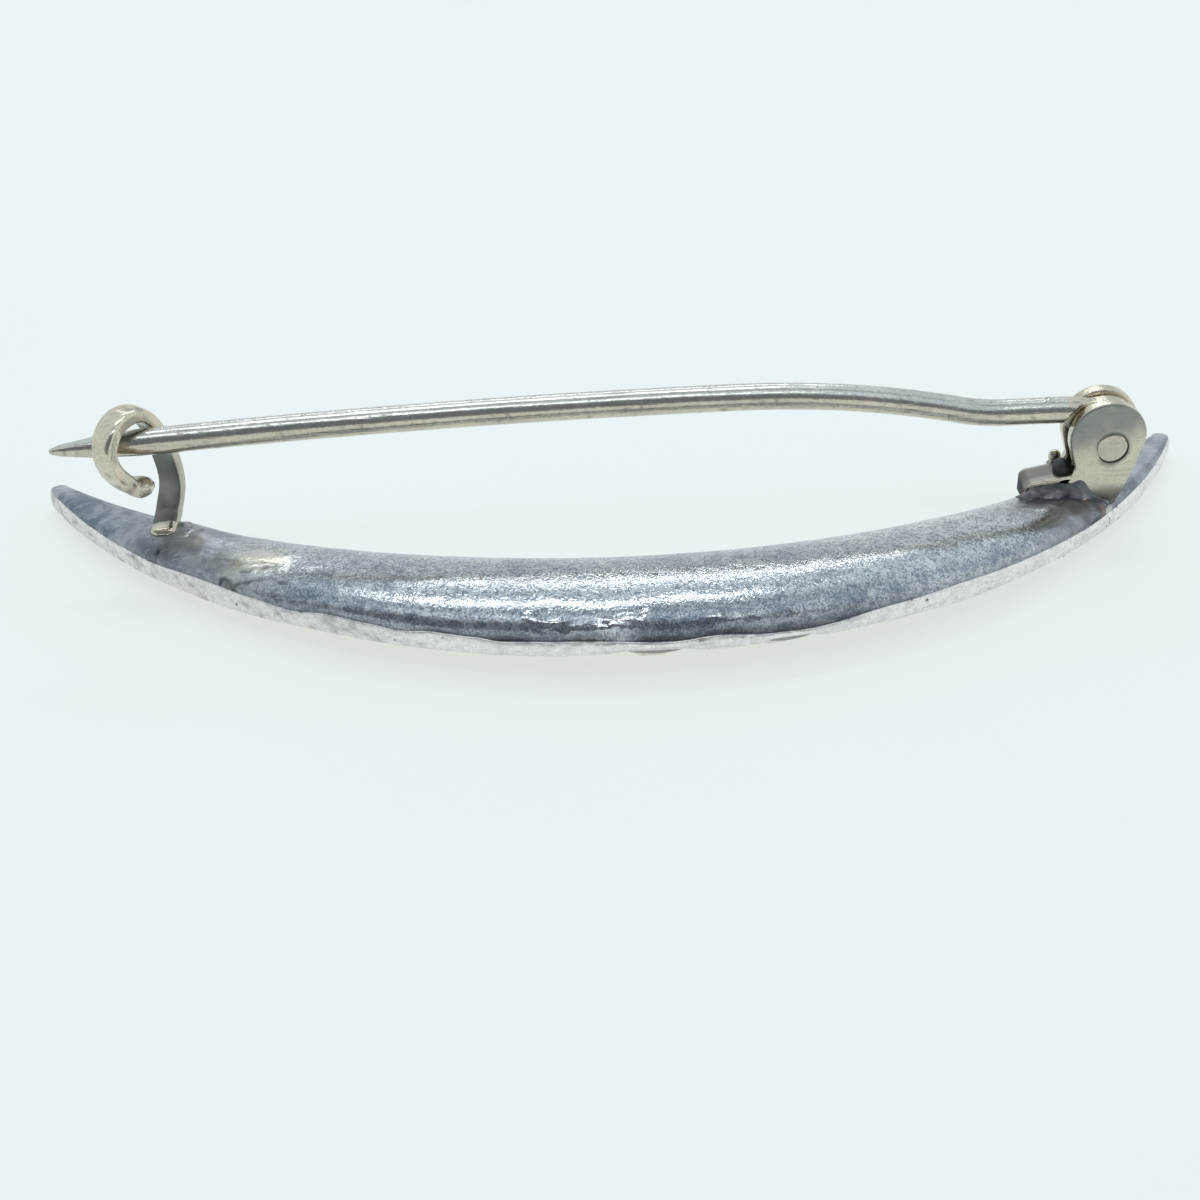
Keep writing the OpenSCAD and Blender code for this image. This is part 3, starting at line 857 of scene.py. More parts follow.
def plate(pivot, turns, reach, front, back, edge, hole=None, crown=0.0):
    """Upright plate about a pivot: rings of the outline over the front, round the edge and over the back."""
    inner = np.full(len(turns), 0.01) if hole is None else hole
    face = np.linspace(0, 1, 9)
    arc = np.linspace(0, np.pi / 2, 6)
    rows = [(inner + (reach - edge - inner) * t, front - crown * (1 - t * t)) for t in face]
    rows += [(reach - edge + edge * np.sin(t), front + edge * (1 - np.cos(t))) for t in arc[1:]]
    rows += [(reach, front + edge + (back - front - 2 * edge) * t) for t in face[1:-1]]
    rows += [(reach - edge + edge * np.cos(t), back - edge * (1 - np.sin(t))) for t in arc]
    rows += [(inner + (reach - edge - inner) * t, back) for t in face[::-1][1:]]
    radius = np.array([r for r, _ in rows])
    depth = np.array([y for _, y in rows])[:, None] + 0 * turns
    return ring_skin(np.stack(
        [pivot[0] + radius * np.cos(turns), depth, pivot[1] + radius * np.sin(turns)], -1))


def ear(pivot, front, thickness, hole_radius, crown, seed):
    """One ear: a round head on a neck, with soft edges, and a face that may bulge."""
    turns = directions(220)
    head = disc_reach(EAR_HEAD, EAR_RADIUS, pivot, turns)
    reach = softened(np.maximum(head, reach_of(NECK_OUTLINE, pivot, turns)), 5)
    ripple = np.stack([3 * np.cos(turns), 3 * np.sin(turns), 0 * turns], -1)
    reach = reach + 0.018 * lattice_noise(ripple, 1.0, seed)
    closing = np.exp(-(((turns + 2 * np.pi) % (2 * np.pi) - math.radians(200)) / 0.3) ** 2)
    hole = hole_radius * (1 - 0.03 * closing)
    points, faces = plate(pivot, turns, reach, front, front + thickness, EAR_EDGE, hole, crown)
    points[:, 1] += 0.012 * lattice_noise(points, 0.9, seed + 1)
    return points, faces


def hinge_bracket(sizes):
    """Both ears, the base between them, the lug towards the middle and a bead of solder on it."""
    pivot, front = pivot_of(sizes), hinge_front(sizes)
    thick, slot = mm(sizes.ear_thickness), mm(sizes.slot_width)
    hole = mm(sizes.rivet_radius) + RIVET_SPACE
    base_turns, lug_turns = directions(160), directions(320)
    base = softened(reach_of(BASE_OUTLINE, BASE_CENTRE, base_turns), 2)
    lug = softened(reach_of(LUG_OUTLINE, LUG_CENTRE, lug_turns), 7)
    return joined([
        ear(pivot, front, thick, hole, EAR_BULGE, 51),
        ear(pivot, front + thick + slot, thick, hole, 0.0, 57),
        plate(BASE_CENTRE, base_turns, base, front + BASE_START, front + 2 * thick + slot, 0.1),
        plate(LUG_CENTRE, lug_turns, lug, front + BASE_START, front + LUG_WIDTH, EAR_EDGE),
        blob(*LUG_BEAD),
    ])


def bracket_masks(points, sizes):
    """Darker low down, painted shade in the slot and on the lug, a dark ring round the rivet, a painted dark
    reflection on the near ear's top, a painted highlight on the lug's front edge, and the dulled silver of
    the base.
    """
    x, y, z = points.T
    uneven = 0.5 + 0.5 * lattice_noise(points, 0.4, 61)
    pivot_x, pivot_z = pivot_of(sizes)
    near = y < hinge_front(sizes) + EAR_EDGE
    low = smooth_step(z + 0.25 * uneven, 2.75, 2.15) * smooth_step(y, 10.1, 9.6)
    # Painted shade in the slot between the ears
    slot = ((y > 8.82) & (y < 9.58) & (z < 5.3)).astype(float)
    ring = np.exp(-((np.hypot(x - pivot_x, z - pivot_z) - 0.64) / 0.05) ** 2) * (y < 8.5)
    ring *= 1 - 0.8 * bump_at(np.stack([x, z], -1), (18.1, 3.95), 0.3)
    # Painted dark reflection over the upper part of the near ear, laid on as dullness
    head = smooth_step(z + 0.25 * (18.6 - x) + 0.3 * uneven, 4.1, 5.3) * near
    lug = smooth_step(x, 17.0, 16.6) * np.where((y > 9.6) & (z > 2.92), 0.3, 0.85 + 0.25 * uneven)
    # Painted highlight along the lug's top front edge, taken off the dullness
    edge = bump_at(np.stack([y, z - 0.18 * (x - 15.5)], -1), (8.37, 2.6), 0.09) * (x < 17)
    # Painted shade over the lug, strongest on its front face low down
    under = (0.12 + 0.5 * near * (z < 2.5)) * (x < 16.95) * (y < 9.62)
    dull = 0.12 + 0.95 * head * (0.75 + 0.3 * uneven) + lug - edge + 0.25 * uneven * low
    return {"dirt": np.clip(0.9 * low + 0.3 * slot + 0.9 * ring + under, 0, 1), "dull": np.clip(dull, 0, 1)}


def rivet(sizes):
    """Rivet with slightly domed heads, hammered flush with the ears."""
    front = hinge_front(sizes) - HEAD_STAND
    back = 2 * mm(sizes.pin_depth) - front
    turn = np.linspace(0, np.pi / 2, 7)
    head = np.stack([mm(sizes.rivet_radius) * np.sin(turn), HEAD_DOME * (1 - np.cos(turn))], -1)
    profile = np.concatenate([head + [0, front], head[::-1] * [1, -1] + [0, back]])
    points = lathe(profile, 64, axis="Y").transpose(1, 0, 2)
    points[..., 1] += 0.008 * lattice_noise(points, 0.35, 63)
    x, z = pivot_of(sizes)
    return skin(points + [x, 0, z])


# Catch hook

# Centre line from its toe to its curled end, the angle that its broad side runs along, and its size there
HOOK_ROWS = [
    # x, y, z, facing, size
    (-18.16, 8.75, 1.98, -22, 0.98), (-18.08, 9.5, 2.14, -22, 1), (-17.95, 10.12, 2.55, -24, 1),
    (-17.76, 10.32, 3.6, -26, 1), (-17.9, 10.3, 4.8, -28, 1), (-18.27, 10.26, 5.98, -34, 0.96),
    (-18.68, 9.8, 6.8, -40, 0.98), (-19.18, 9.08, 7.03, -44, 1.04), (-19.6, 8.4, 6.8, -44, 1.04),
    (-19.8, 8.05, 6.15, -44, 1), (-19.64, 8.0, 5.4, -44, 1.06), (-19.15, 8.04, 4.8, -44, 1.14),
    (-18.7, 8.1, 4.6, -44, 1.08), (-18.14, 8.12, 4.66, -44, 0.5),
]
# Length over which the strip's ends are rounded
HOOK_ROUND = 0.2
# Pits near the curled end and on the curl's top
HOOK_PITS = [
    # x, y, z, radius, depth
    (-19.75, 7.6, 5.35, 0.11, 0.07), (-19.0, 7.6, 4.72, 0.16, 0.08), (-18.8, 7.72, 4.45, 0.12, 0.04),
    (-19.35, 7.62, 4.9, 0.12, 0.03), (-18.6, 9.45, 7.15, 0.13, 0.04), (-18.9, 9.2, 7.3, 0.1, 0.03),
]


def catch_hook(sizes):
    """Bent strip: a soft rectangle swept along the hook's line, its broad side turned as the table says."""
    curve = curve_through(HOOK_ROWS, 14)
    line = curve[:, :3]
    along = unit(np.gradient(line, axis=0))
    facing = np.radians(curve[:, 3])
    wish = np.stack([np.cos(facing), np.sin(facing), 0 * facing], -1)
    across = unit(wish - np.sum(wish * along, -1, keepdims=True) * along)
    outwards = np.cross(along, across)
    travelled = np.concatenate([[0], np.cumsum(np.linalg.norm(np.diff(line, axis=0), axis=1))])
    to_end = np.minimum(travelled, travelled[-1] - travelled)
    ease = np.sqrt(np.clip(1 - (1 - np.clip(to_end / HOOK_ROUND, 0, 1)) ** 2, 0.3, 1))
    section = soft_box(mm(sizes.strip_width), mm(sizes.strip_thickness), 44, 4.2)
    points = sweep(line, across, outwards, section, curve[:, 4] * ease)
    normals = unit(points - line[:, None])
    relief = 0.014 * lattice_noise(points, 0.8, 71) + 0.006 * lattice_noise(points, 0.25, 73)
    relief -= hills(points, HOOK_PITS)
    hollow = np.broadcast_to(section[:, 1] < -0.2, points.shape[:2])
    return skin(points + normals * relief[..., None]), hollow.ravel().astype(float)


def hook_masks(points, hollow):
    """Darker at the foot, a dulled riser, painted shade on the strip's hollow side, strongest up the riser,
    dark pits at the end, and a lighter toe.
    """
    uneven = 0.5 + 0.5 * lattice_noise(points, 0.5, 75)
    foot = smooth_step(points[:, 2], 3.2, 2.0) * (points[:, 1] > 9.2)
    riser = smooth_step(points[:, 2], 5.8, 4.4) * (points[:, 1] > 9.3)
    toe = smooth_step(points[:, 1], 9.3, 8.85) * smooth_step(points[:, 2], 3.2, 2.6)
    pits = sum(bump_at(points, row[:3], 1.2 * row[3]) for row in HOOK_PITS)
    # Painted shade on the hollow side, strongest up the riser; the toe is kept lighter
    dirt = 0.1 * foot * uneven + riser * hollow * (0.25 + 0.4 * uneven) + 0.8 * pits - toe
    dull = riser * (0.2 + 0.4 * uneven + 0.4 * hollow) + 0.45 * hollow + 0.05 * uneven - toe
    return {"dirt": np.clip(dirt, 0, 1), "dull": np.clip(dull, 0, 1)}


# Solder that stands clear of the back

# Crust along the front of the hinge
CRUST_ROWS = [
    # x, face it leans on, height of its top, reach forwards, height of its foot
    (15.2, 8.7, 1.95, 0.12, 1.6), (15.5, 8.36, 2.4, 0.42, 1.68), (16.3, 8.34, 2.62, 0.6, 1.64),
    (16.8, 8.32, 2.7, 0.62, 1.64), (17.2, 8.3, 2.66, 0.58, 1.62), (17.55, 8.27, 2.76, 0.52, 1.56),
    (17.8, 8.27, 2.6, 0.46, 1.52), (18.05, 8.28, 2.32, 0.4, 1.44), (18.3, 8.3, 2.04, 0.34, 1.34),
    (18.6, 8.3, 1.82, 0.28, 1.15), (18.85, 8.34, 1.62, 0.2, 1.1), (19.15, 8.7, 1.3, 0.1, 1.05),
]
SOLDER_LUMPS = [
    # centre, half sizes, turn, seed
    # This lump between the ears, above the base, is painted dark as shade
    ((16.92, 8.95, 2.95), (0.3, 0.3, 0.46), 0.2, 97), ((18.66, 8.1, 1.6), (0.22, 0.15, 0.22), 0.6, 83),
    ((-17.25, 8.62, 2.06), (0.12, 0.09, 0.06), 0.0, 85), ((-17.4, 9.5, 1.95), (0.45, 0.4, 0.22), 0.3, 86),
    ((-18.6, 9.4, 1.75), (0.35, 0.45, 0.2), -0.4, 87), ((18.6, 10.2, 1.9), (0.7, 0.3, 0.3), 0.7, 88),
    ((17.3, 10.0, 2.1), (0.6, 0.3, 0.25), 0.4, 89), ((-17.0, 8.95, 1.98), (0.4, 0.3, 0.2), 0.2, 98),
]
# Bare copper, clean solder, and painted shade in the holes and over the lump between the ears
LUMP_COPPER = [
    # x, y, z, radius, strength
    (17.74, 7.95, 1.8, 0.15, 1), (18.42, 8.1, 1.5, 0.15, 1),
]
LUMP_CLEAN = [
    # x, y, z, radius, strength
    (18.68, 8.1, 1.45, 0.3, 1), (-17.25, 8.6, 2.1, 0.2, 1), (17.7, 8.0, 2.0, 0.13, 0.8),
    (16.3, 7.95, 2.2, 0.16, 0.4),
]
LUMP_HOLE_SHADE = [
    # x, y, z, radius, strength
    (18.1, 8.15, 1.8, 0.26, 1), (16.92, 8.8, 2.9, 0.6, 1),
]


def crust():
    """Fillet of solder: its front falls from top to foot by the power 1.6 of what is left, and is rough."""
    x, face, top, reach, foot = curve_through(CRUST_ROWS, 16).T
    place = np.stack([x, 0 * x, 0 * x], -1)
    top = top + 0.1 * lattice_noise(place, 0.26, 99)
    v = np.linspace(0, 1, 18)[None, :]
    y = face[:, None] - reach[:, None] * v
    z = foot[:, None] + (top - foot)[:, None] * (1 - v) ** 1.6
    rough = np.sin(np.pi * v) ** 0.5
    points = np.stack([x[:, None] + 0 * v, y, z], -1)
    bulge = 0.14 * lattice_noise(points, 0.36, 110) + 0.07 * lattice_noise(points, 0.16, 111)
    points = points + (rough * bulge)[..., None] * np.array([0, -0.8, 0.6])
    behind = [(-0.1, foot - 0.25), (0.3, foot - 0.25), (0.3, top - 0.15), (0.15, top - 0.05)]
    hidden = np.stack([np.stack([x, face + shift, height], -1) for shift, height in behind], 1)
    hidden[:, 0, 1] -= reach - 0.1
    return skin(np.concatenate([points, hidden], axis=1))


def solder_lumps():
    """The crust and the lumps as one piece."""
    return joined([crust()] + [blob(*row, rough=0.3, rings=22, sides=36) for row in SOLDER_LUMPS])


def lump_masks(points):
    """Heat stain and dirt over the lumps, painted shade on the front of the hinge's solder, in the holes and
    over the lump between the ears, with bare copper in two cracks and clean solder at the grain.
    """
    uneven = 0.5 + 0.5 * lattice_noise(points, 0.3, 91)
    clean = hills(points, LUMP_CLEAN)
    front = smooth_step(points[:, 0], 14.5, 15) * smooth_step(points[:, 1], 9.4, 9.1)
    # Some dirt, with painted shade on the front of the hinge's solder and in the holes
    dirt = 0.02 + 0.3 * uneven + 0.25 * front + 0.8 * hills(points, LUMP_HOLE_SHADE) - clean
    return {
        "dirt": np.clip(dirt, 0, 1),
        "stain": np.clip(1 - clean, 0, 1),
        "solder": np.clip(clean, 0, 1),
        "copper": np.clip(1.4 * hills(points, LUMP_COPPER) - 0.5, 0, 1),
        # Painted shade on the front of the hinge's solder
        "shade": 0.6 * front,
        "calm": np.ones(len(points)),
    }


# Pin

# x and z where the round wire begins, and the length that it runs level from there
WIRE_START = (16.4, 5.46)
WIRE_LEAD = 1.9
BENDS = [
    # radius, turn in degrees
    (8, 13), (38, -13), (350, -3.75),
]
POINT_STEPS = [
    # length, diameter at its end
    (1.7, 0.78), (1.2, 0.44), (0.3, 0.24), (0.1, 0.1),
]
# Step along the wire's line, and the flat stretch that leads from the eye to the round wire
LINE_STEP = 0.01
FLAT_LEAD = 1.7
EYE_RADIUS = 1.2
EYE_EDGE = 0.16
# Space of the eye below the ears' edge, in the slot, both sides together, and round the rivet
EYE_BELOW = 0.13
EYE_PLAY = 0.1
EYE_SPACE = 0.05
TONGUE_END = 16.7
PIN_BURRS = [
    # x, y, z, radius, height
    (16.15, 9.1, 6.0, 0.07, 0.22), (9.7, 8.7, 5.9, 0.06, 0.08), (-17.05, 9.0, 5.95, 0.1, -0.09),
]


def pin_line(sizes):
    """The wire's line and radius: the heading turns evenly along a bend, and the place is its running sum."""
    lengths = [WIRE_LEAD] + [radius * math.radians(abs(turn)) for radius, turn in BENDS]
    turns = [0] + [turn for _, turn in BENDS]
    stops = np.concatenate([[0], np.cumsum(lengths)])
    headings = np.radians(np.concatenate([[0], np.cumsum(turns)]))
    point_stops = stops[-1] + np.concatenate([[0], np.cumsum([length for length, _ in POINT_STEPS])])
    point_radii = [mm(sizes.wire_diameter) / 2] + [diameter / 2 for _, diameter in POINT_STEPS]
    travelled = np.arange(0, point_stops[-1], LINE_STEP)
    heading = np.interp(travelled, stops, headings)
    x = WIRE_START[0] - np.cumsum(np.cos(heading)) * LINE_STEP
    z = WIRE_START[1] + np.cumsum(np.sin(heading)) * LINE_STEP
    radius = np.interp(travelled, point_stops, point_radii)
    keep = np.arange(len(travelled)) % 12 == 0
    keep |= travelled > point_stops[-1] - 0.6
    return x[keep], z[keep], heading[keep], radius[keep]


def round_wire(sizes):
    """Round wire with a filed point: rings about its line, flattened where it enters the hinge."""
    pivot = pivot_of(sizes)
    x, z, heading, radius = pin_line(sizes)
    lead = np.linspace(1, 0, 22, endpoint=False)
    x = np.concatenate([WIRE_START[0] + FLAT_LEAD * lead, x])
    z = np.concatenate([WIRE_START[1] - 0.12 * lead ** 2, z])
    heading = np.concatenate([0.16 * lead, heading])
    radius = np.concatenate([np.full(len(lead), radius[0]), radius])
    turn = np.linspace(0, 2 * np.pi, 40, endpoint=False)[None, :]
    up = np.stack([np.sin(heading), 0 * heading, np.cos(heading)], -1)[:, None]
    line = np.stack([x, 0 * x + mm(sizes.pin_depth), z], -1)[:, None]
    points = line + (radius[:, None] * np.cos(turn))[..., None] * up
    from_pivot = np.hypot(points[..., 0] - pivot[0], points[..., 2] - pivot[1])
    side = np.minimum(radius[:, None], 0.3 + 0.25 * smooth_step(from_pivot, 2.0, 2.14))
    points = points + (side * np.sin(turn))[..., None] * np.array([0, 1, 0])
    normals = unit(points - line)
    relief = 0.006 * lattice_noise(points * [0.3, 1, 1], 0.6, 101) + 0.003 * lattice_noise(points, 0.2, 103)
    relief += hills(points, PIN_BURRS)
    relief *= np.minimum(1, radius / 0.4)[:, None]
    return skin(points + normals * relief[..., None])


def pin_eye(sizes):
    """Flat eye about the rivet, with a crown that follows the ears and a tongue that runs into the wire."""
    x, z = pivot_of(sizes)
    turns = directions(200)
    low_edge = math.radians(8)
    start = WIRE_START[1]
    tongue = [(TONGUE_END, start - 0.4), (TONGUE_END, start + 0.42), (x - 0.75, start + 0.38),
              (x - 0.1, z + 1.45), (x + 0.2, z), (x, z - 0.2),
              (x - EYE_RADIUS * math.cos(low_edge), z + EYE_RADIUS * math.sin(low_edge))]
    degrees = np.degrees(turns)
    rise = smooth_step(degrees, 42, 64) * smooth_step(degrees, 170, 160)
    ear_reach = disc_reach(EAR_HEAD, EAR_RADIUS, (x, z), turns)
    crown = EYE_RADIUS + rise * (ear_reach - EYE_BELOW - EYE_RADIUS)
    reach = softened(np.maximum(crown, reach_of(tongue, (x, z), turns)), 4)
    middle = mm(sizes.pin_depth)
    half = (mm(sizes.slot_width) - EYE_PLAY) / 2
    hole = np.full(len(turns), mm(sizes.rivet_radius) + EYE_SPACE)
    return plate((x, z), turns, reach, middle - half, middle + half, EYE_EDGE, hole)


def pin_wire(sizes):
    """The wire and its eye as one piece."""
    return joined([round_wire(sizes), pin_eye(sizes)])


def pin_masks(points, sizes):
    """Painted shade in the slot of the hinge, specks along the wire, and a painted sky reflection on its
    upper side.
    """
    inside = smooth_step(points[:, 0], 16.6, 17.2)
    specks = smooth_step(lattice_noise(points, 0.16, 105), 0.55, 0.75)
    uneven = 0.5 + 0.5 * lattice_noise(points * [0.4, 1, 1], 0.7, 107)
    # Painted shade low on the wire inside the slot
    low = inside * smooth_step(points[:, 2], 5.4, 4.9)
    line_x, line_z, _, _ = pin_line(sizes)
    above = points[:, 2] - np.interp(points[:, 0], line_x[::-1], line_z[::-1])
    return {
        "dirt": np.clip(0.6 * low + 0.4 * specks, 0, 1),
        "dull": np.clip(0.6 * low + 0.25 * uneven, 0, 1),
        # Painted reflection of the bluish sky on the wire's upper side
        "cool": 0.85 * smooth_step(above, 0.08, 0.3) * (1 - inside),
    }


# Shader helpers

def add(tree, kind, settings=None, **inputs):
    """Adds a node: settings are its properties, and inputs are values or outputs by the socket's name."""
    node = tree.nodes.new("ShaderNode" + kind)
    for key, value in (settings or {}).items():
        setattr(node, key, value)
    for key, value in inputs.items():
        plug(tree, node.inputs[key.replace("_", " ")], value)
    return node


def plug(tree, socket, value):
    """Links an output to a socket, or sets the socket's own value."""
    if isinstance(value, bpy.types.NodeSocket):
        tree.links.new(value, socket)
    elif hasattr(value, "__len__"):
        socket.default_value = (*value, 1.0)[:len(socket.default_value)]
    else:
        socket.default_value = value


def sums(tree, operation, first, second=0.5, third=0.5):
    """One Math node."""
    node = tree.nodes.new("ShaderNodeMath")
    node.operation = operation
    for socket, value in zip(node.inputs, (first, second, third)):
        plug(tree, socket, value)
    return node.outputs[0]


def times(tree, first, second):
    """Product of two values."""
    return sums(tree, "MULTIPLY", first, second)


def plus(tree, base, value, share):
    """A base with a share of a value added to it."""
    return sums(tree, "MULTIPLY_ADD", value, share, base)


def larger(tree, first, second):
    """The larger of two values."""
    return sums(tree, "MAXIMUM", first, second)


def blended(tree, factor, first, second):
    """Mixes two colours."""
    node = tree.nodes.new("ShaderNodeMix")
    node.data_type = "RGBA"
    for index, value in ((0, factor), (6, first), (7, second)):
        plug(tree, node.inputs[index], value)
    return node.outputs[2]


def tinted(tree, base, mask, share, tint):
    """A base colour with a tint over it, by a share of a mask."""
    return blended(tree, times(tree, mask, share), base, tint)


def ramped(tree, value, low, high, to_low=0.0, to_high=1.0):
    """Maps a value from one range to another with a smooth step."""
    node = add(tree, "MapRange", {"interpolation_type": "SMOOTHSTEP"}, Value=value)
    for name, number in (("From Min", low), ("From Max", high), ("To Min", to_low), ("To Max", to_high)):
        plug(tree, node.inputs[name], number)
    return node.outputs[0]


def noise(tree, vector, scale, detail=2.0, roughness=0.5, distortion=0.0):
    """Fractal noise from 0 to 1."""
    node = add(tree, "TexNoise", Vector=vector, Scale=scale, Detail=detail, Roughness=roughness,
               Distortion=distortion)
    return node.outputs["Fac"]


def new_group(name, inputs, outputs):
    """An empty node group with float inputs and outputs, and its Object coordinates."""
    group = bpy.data.node_groups.new(name, "ShaderNodeTree")
    for label, default in inputs:
        socket = group.interface.new_socket(label, in_out="INPUT", socket_type="NodeSocketFloat")
        socket.default_value = default
    for label in outputs:
        group.interface.new_socket(label, in_out="OUTPUT", socket_type="NodeSocketFloat")
    entry = group.nodes.new("NodeGroupInput")
    leave = group.nodes.new("NodeGroupOutput")
    place = group.nodes.new("ShaderNodeTexCoord").outputs["Object"]
    return group, entry, leave, place


def use_group(tree, group, **inputs):
    """A node that stands for a group, with its inputs."""
    node = tree.nodes.new("ShaderNodeGroup")
    node.node_tree = group
    for key, value in inputs.items():
        plug(tree, node.inputs[key], value)
    return node


def grain_group():
    """Worm-like grain of worn silver: thin folds where a warped noise crosses its middle."""
    group, entry, leave, place = new_group("Worm grain", [("Scale", 5000.0)], ["Fold", "Height"])
    scale = entry.outputs["Scale"]
    warped = noise(group, place, scale, 1.0, 0.5, 1.1)
    from_middle = sums(group, "ABSOLUTE", sums(group, "SUBTRACT", warped, 0.5))
    group.links.new(ramped(group, from_middle, 0.015, 0.085, 1.0, 0.0), leave.inputs["Fold"])
    fine = noise(group, place, times(group, scale, 2.1), 1.0, 0.5, 0.6)
    height = sums(group, "ADD", times(group, warped, 0.7), times(group, fine, 0.3))
    group.links.new(height, leave.inputs["Height"])
    return group


def patch_group():
    """Cloudy patches of tarnish: a rough noise cut softly between two levels."""
    group, entry, leave, place = new_group(
        "Tarnish patches", [("Scale", 400.0), ("Low", 0.4), ("High", 0.62)], ["Mask"])
    cloud = noise(group, place, entry.outputs["Scale"], 4.0, 0.62, 0.4)
    group.links.new(ramped(group, cloud, entry.outputs["Low"], entry.outputs["High"]), leave.inputs["Mask"])
    return group


def scratch_group():
    """Fine scratches that run along the brooch: noise drawn out along x, with two leanings."""
    group, entry, leave, place = new_group("Scratches", [("Scale", 6000.0)], ["Lines"])
    total = None
    for turn in (-0.12, 0.2):
        lean = add(group, "Mapping", Vector=place)
        lean.inputs["Rotation"].default_value = (0.3, turn, turn)
        lean.inputs["Scale"].default_value = (0.045, 1, 1)
        line = ramped(group, noise(group, lean.outputs[0], entry.outputs["Scale"], 1.0, 0.5), 0.62, 0.74)
        total = line if total is None else larger(group, total, line)
    group.links.new(total, leave.inputs["Lines"])
    return group


def pit_group():
    """Small dark pits: the hearts of scattered cells, thinned out by a slow noise."""
    group, entry, leave, place = new_group("Pits", [("Scale", 2600.0), ("Size", 0.16)], ["Mask"])
    size = entry.outputs["Size"]
    cell = add(group, "TexVoronoi", Vector=place, Scale=entry.outputs["Scale"], Randomness=1.0)
    heart = ramped(group, cell.outputs["Distance"], times(group, size, 0.4), size, 1.0, 0.0)
    thin = ramped(group, noise(group, place, 900.0, 2.0), 0.52, 0.64)
    group.links.new(times(group, heart, thin), leave.inputs["Mask"])
    return group


def new_material(name, metallic):
    """Node tree and shader of a new material."""
    material = bpy.data.materials.new(name)
    material.use_nodes = True
    tree = material.node_tree
    shader = tree.nodes["Principled BSDF"]
    shader.inputs["Metallic"].default_value = metallic
    return tree, shader


def mask_of(tree, name):
    """The value that a mesh carries under a name."""
    return add(tree, "Attribute", {"attribute_name": name, "attribute_type": "GEOMETRY"}).outputs["Fac"]


def surface(tree, shader, base, rough, height, depth):
    """Gives a shader its colour, its roughness and a bump of a depth in metres."""
    plug(tree, shader.inputs["Base Color"], base)
    plug(tree, shader.inputs["Roughness"], rough)
    bump = add(tree, "Bump", Strength=1.0, Distance=depth, Height=height)
    plug(tree, shader.inputs["Normal"], bump.outputs[0])


def oxidised_silver(finish, groups):
    """Back of the crescent: silver under a bluish oxide, with a worm-like grain and a stain at the solder."""
    tree, shader = new_material("oxidised_silver", 1.0)
    grain = use_group(tree, groups["grain"], Scale=4700.0)
    fine = use_group(tree, groups["grain"], Scale=6900.0)
    cloud = use_group(tree, groups["patches"], Scale=330.0, Low=0.36, High=0.66).outputs["Mask"]
    small = use_group(tree, groups["patches"], Scale=1300.0, Low=0.4, High=0.62).outputs["Mask"]
    lines = use_group(tree, groups["scratches"], Scale=5200.0).outputs["Lines"]
    pits = use_group(tree, groups["pits"], Scale=2400.0, Size=0.15).outputs["Mask"]
    shade, calm, stain = (mask_of(tree, name) for name in ("shade", "calm", "stain"))
    lively = plus(tree, 1.0, calm, -0.8)
    # Oxide patches, deepened by the painted shade and thinned by the painted highlight along the ridges
    dark = plus(tree, plus(tree, plus(tree, 0.16, small, 0.25), cloud, 0.25), shade, 0.4)
    base = blended(tree, dark, finish.silver, finish.oxide)
    base = tinted(tree, base, fine.outputs["Fold"], times(tree, lively, 0.45), finish.silver)
    base = tinted(tree, base, grain.outputs["Fold"], times(tree, lively, 0.75), finish.oxide)
    base = tinted(tree, base, stain, 0.78, finish.bruise)
    base = tinted(tree, base, mask_of(tree, "solder"), 0.85, finish.solder)
    base = blended(tree, mask_of(tree, "copper"), base, finish.copper)
    base = tinted(tree, base, lines, 0.25, finish.silver)
    # Dirt, painted shade and pits, towards the dirt colour
    grime_and_shade = larger(tree, mask_of(tree, "dirt"), times(tree, pits, 0.7))
    base = tinted(tree, base, grime_and_shade, 0.85, finish.dirt)
    rough = plus(tree, plus(tree, 0.055, grain.outputs["Height"], 0.09), cloud, 0.06)
    for value, share in ((larger(tree, shade, 0.0), 0.2), (calm, 0.14), (stain, 0.08), (grime_and_shade, 0.3)):
        rough = plus(tree, rough, value, share)
    height = plus(tree, grain.outputs["Height"], fine.outputs["Height"], 0.5)
    height = plus(tree, times(tree, height, lively), grime_and_shade, -0.5)
    surface(tree, shader, base, rough, height, 0.000017)


def worn_silver(finish, groups):
    """Rim, walls and grains: pale silver, rubbed clean on top and veined with dirt below."""
    tree, shader = new_material("worn_silver", 1.0)
    grain = use_group(tree, groups["grain"], Scale=3200.0)
    cloud = use_group(tree, groups["patches"], Scale=700.0, Low=0.42, High=0.66).outputs["Mask"]
    lines = use_group(tree, groups["scratches"], Scale=4200.0).outputs["Lines"]
    pits = use_group(tree, groups["pits"], Scale=2200.0, Size=0.2).outputs["Mask"]
    foil = mask_of(tree, "foil")
    base = finish.rim
    for value, share in ((cloud, 0.16), (grain.outputs["Fold"], 0.2), (lines, 0.25)):
        base = tinted(tree, base, value, share, finish.bruise)
    base = blended(tree, foil, base, finish.foil)
    # Dirt, painted shade and pits, towards the dirt colour
    grime_and_shade = larger(tree, mask_of(tree, "dirt"), pits)
    base = tinted(tree, base, grime_and_shade, 0.8, finish.dirt)
    rough = plus(tree, 0.24, grain.outputs["Height"], 0.2)
    rough = plus(tree, plus(tree, rough, foil, -0.2), grime_and_shade, 0.3)
    height = plus(tree, grain.outputs["Height"], grime_and_shade, -0.6)
    height = times(tree, height, sums(tree, "SUBTRACT", 1.0, foil))
    surface(tree, shader, base, rough, height, 0.000025)


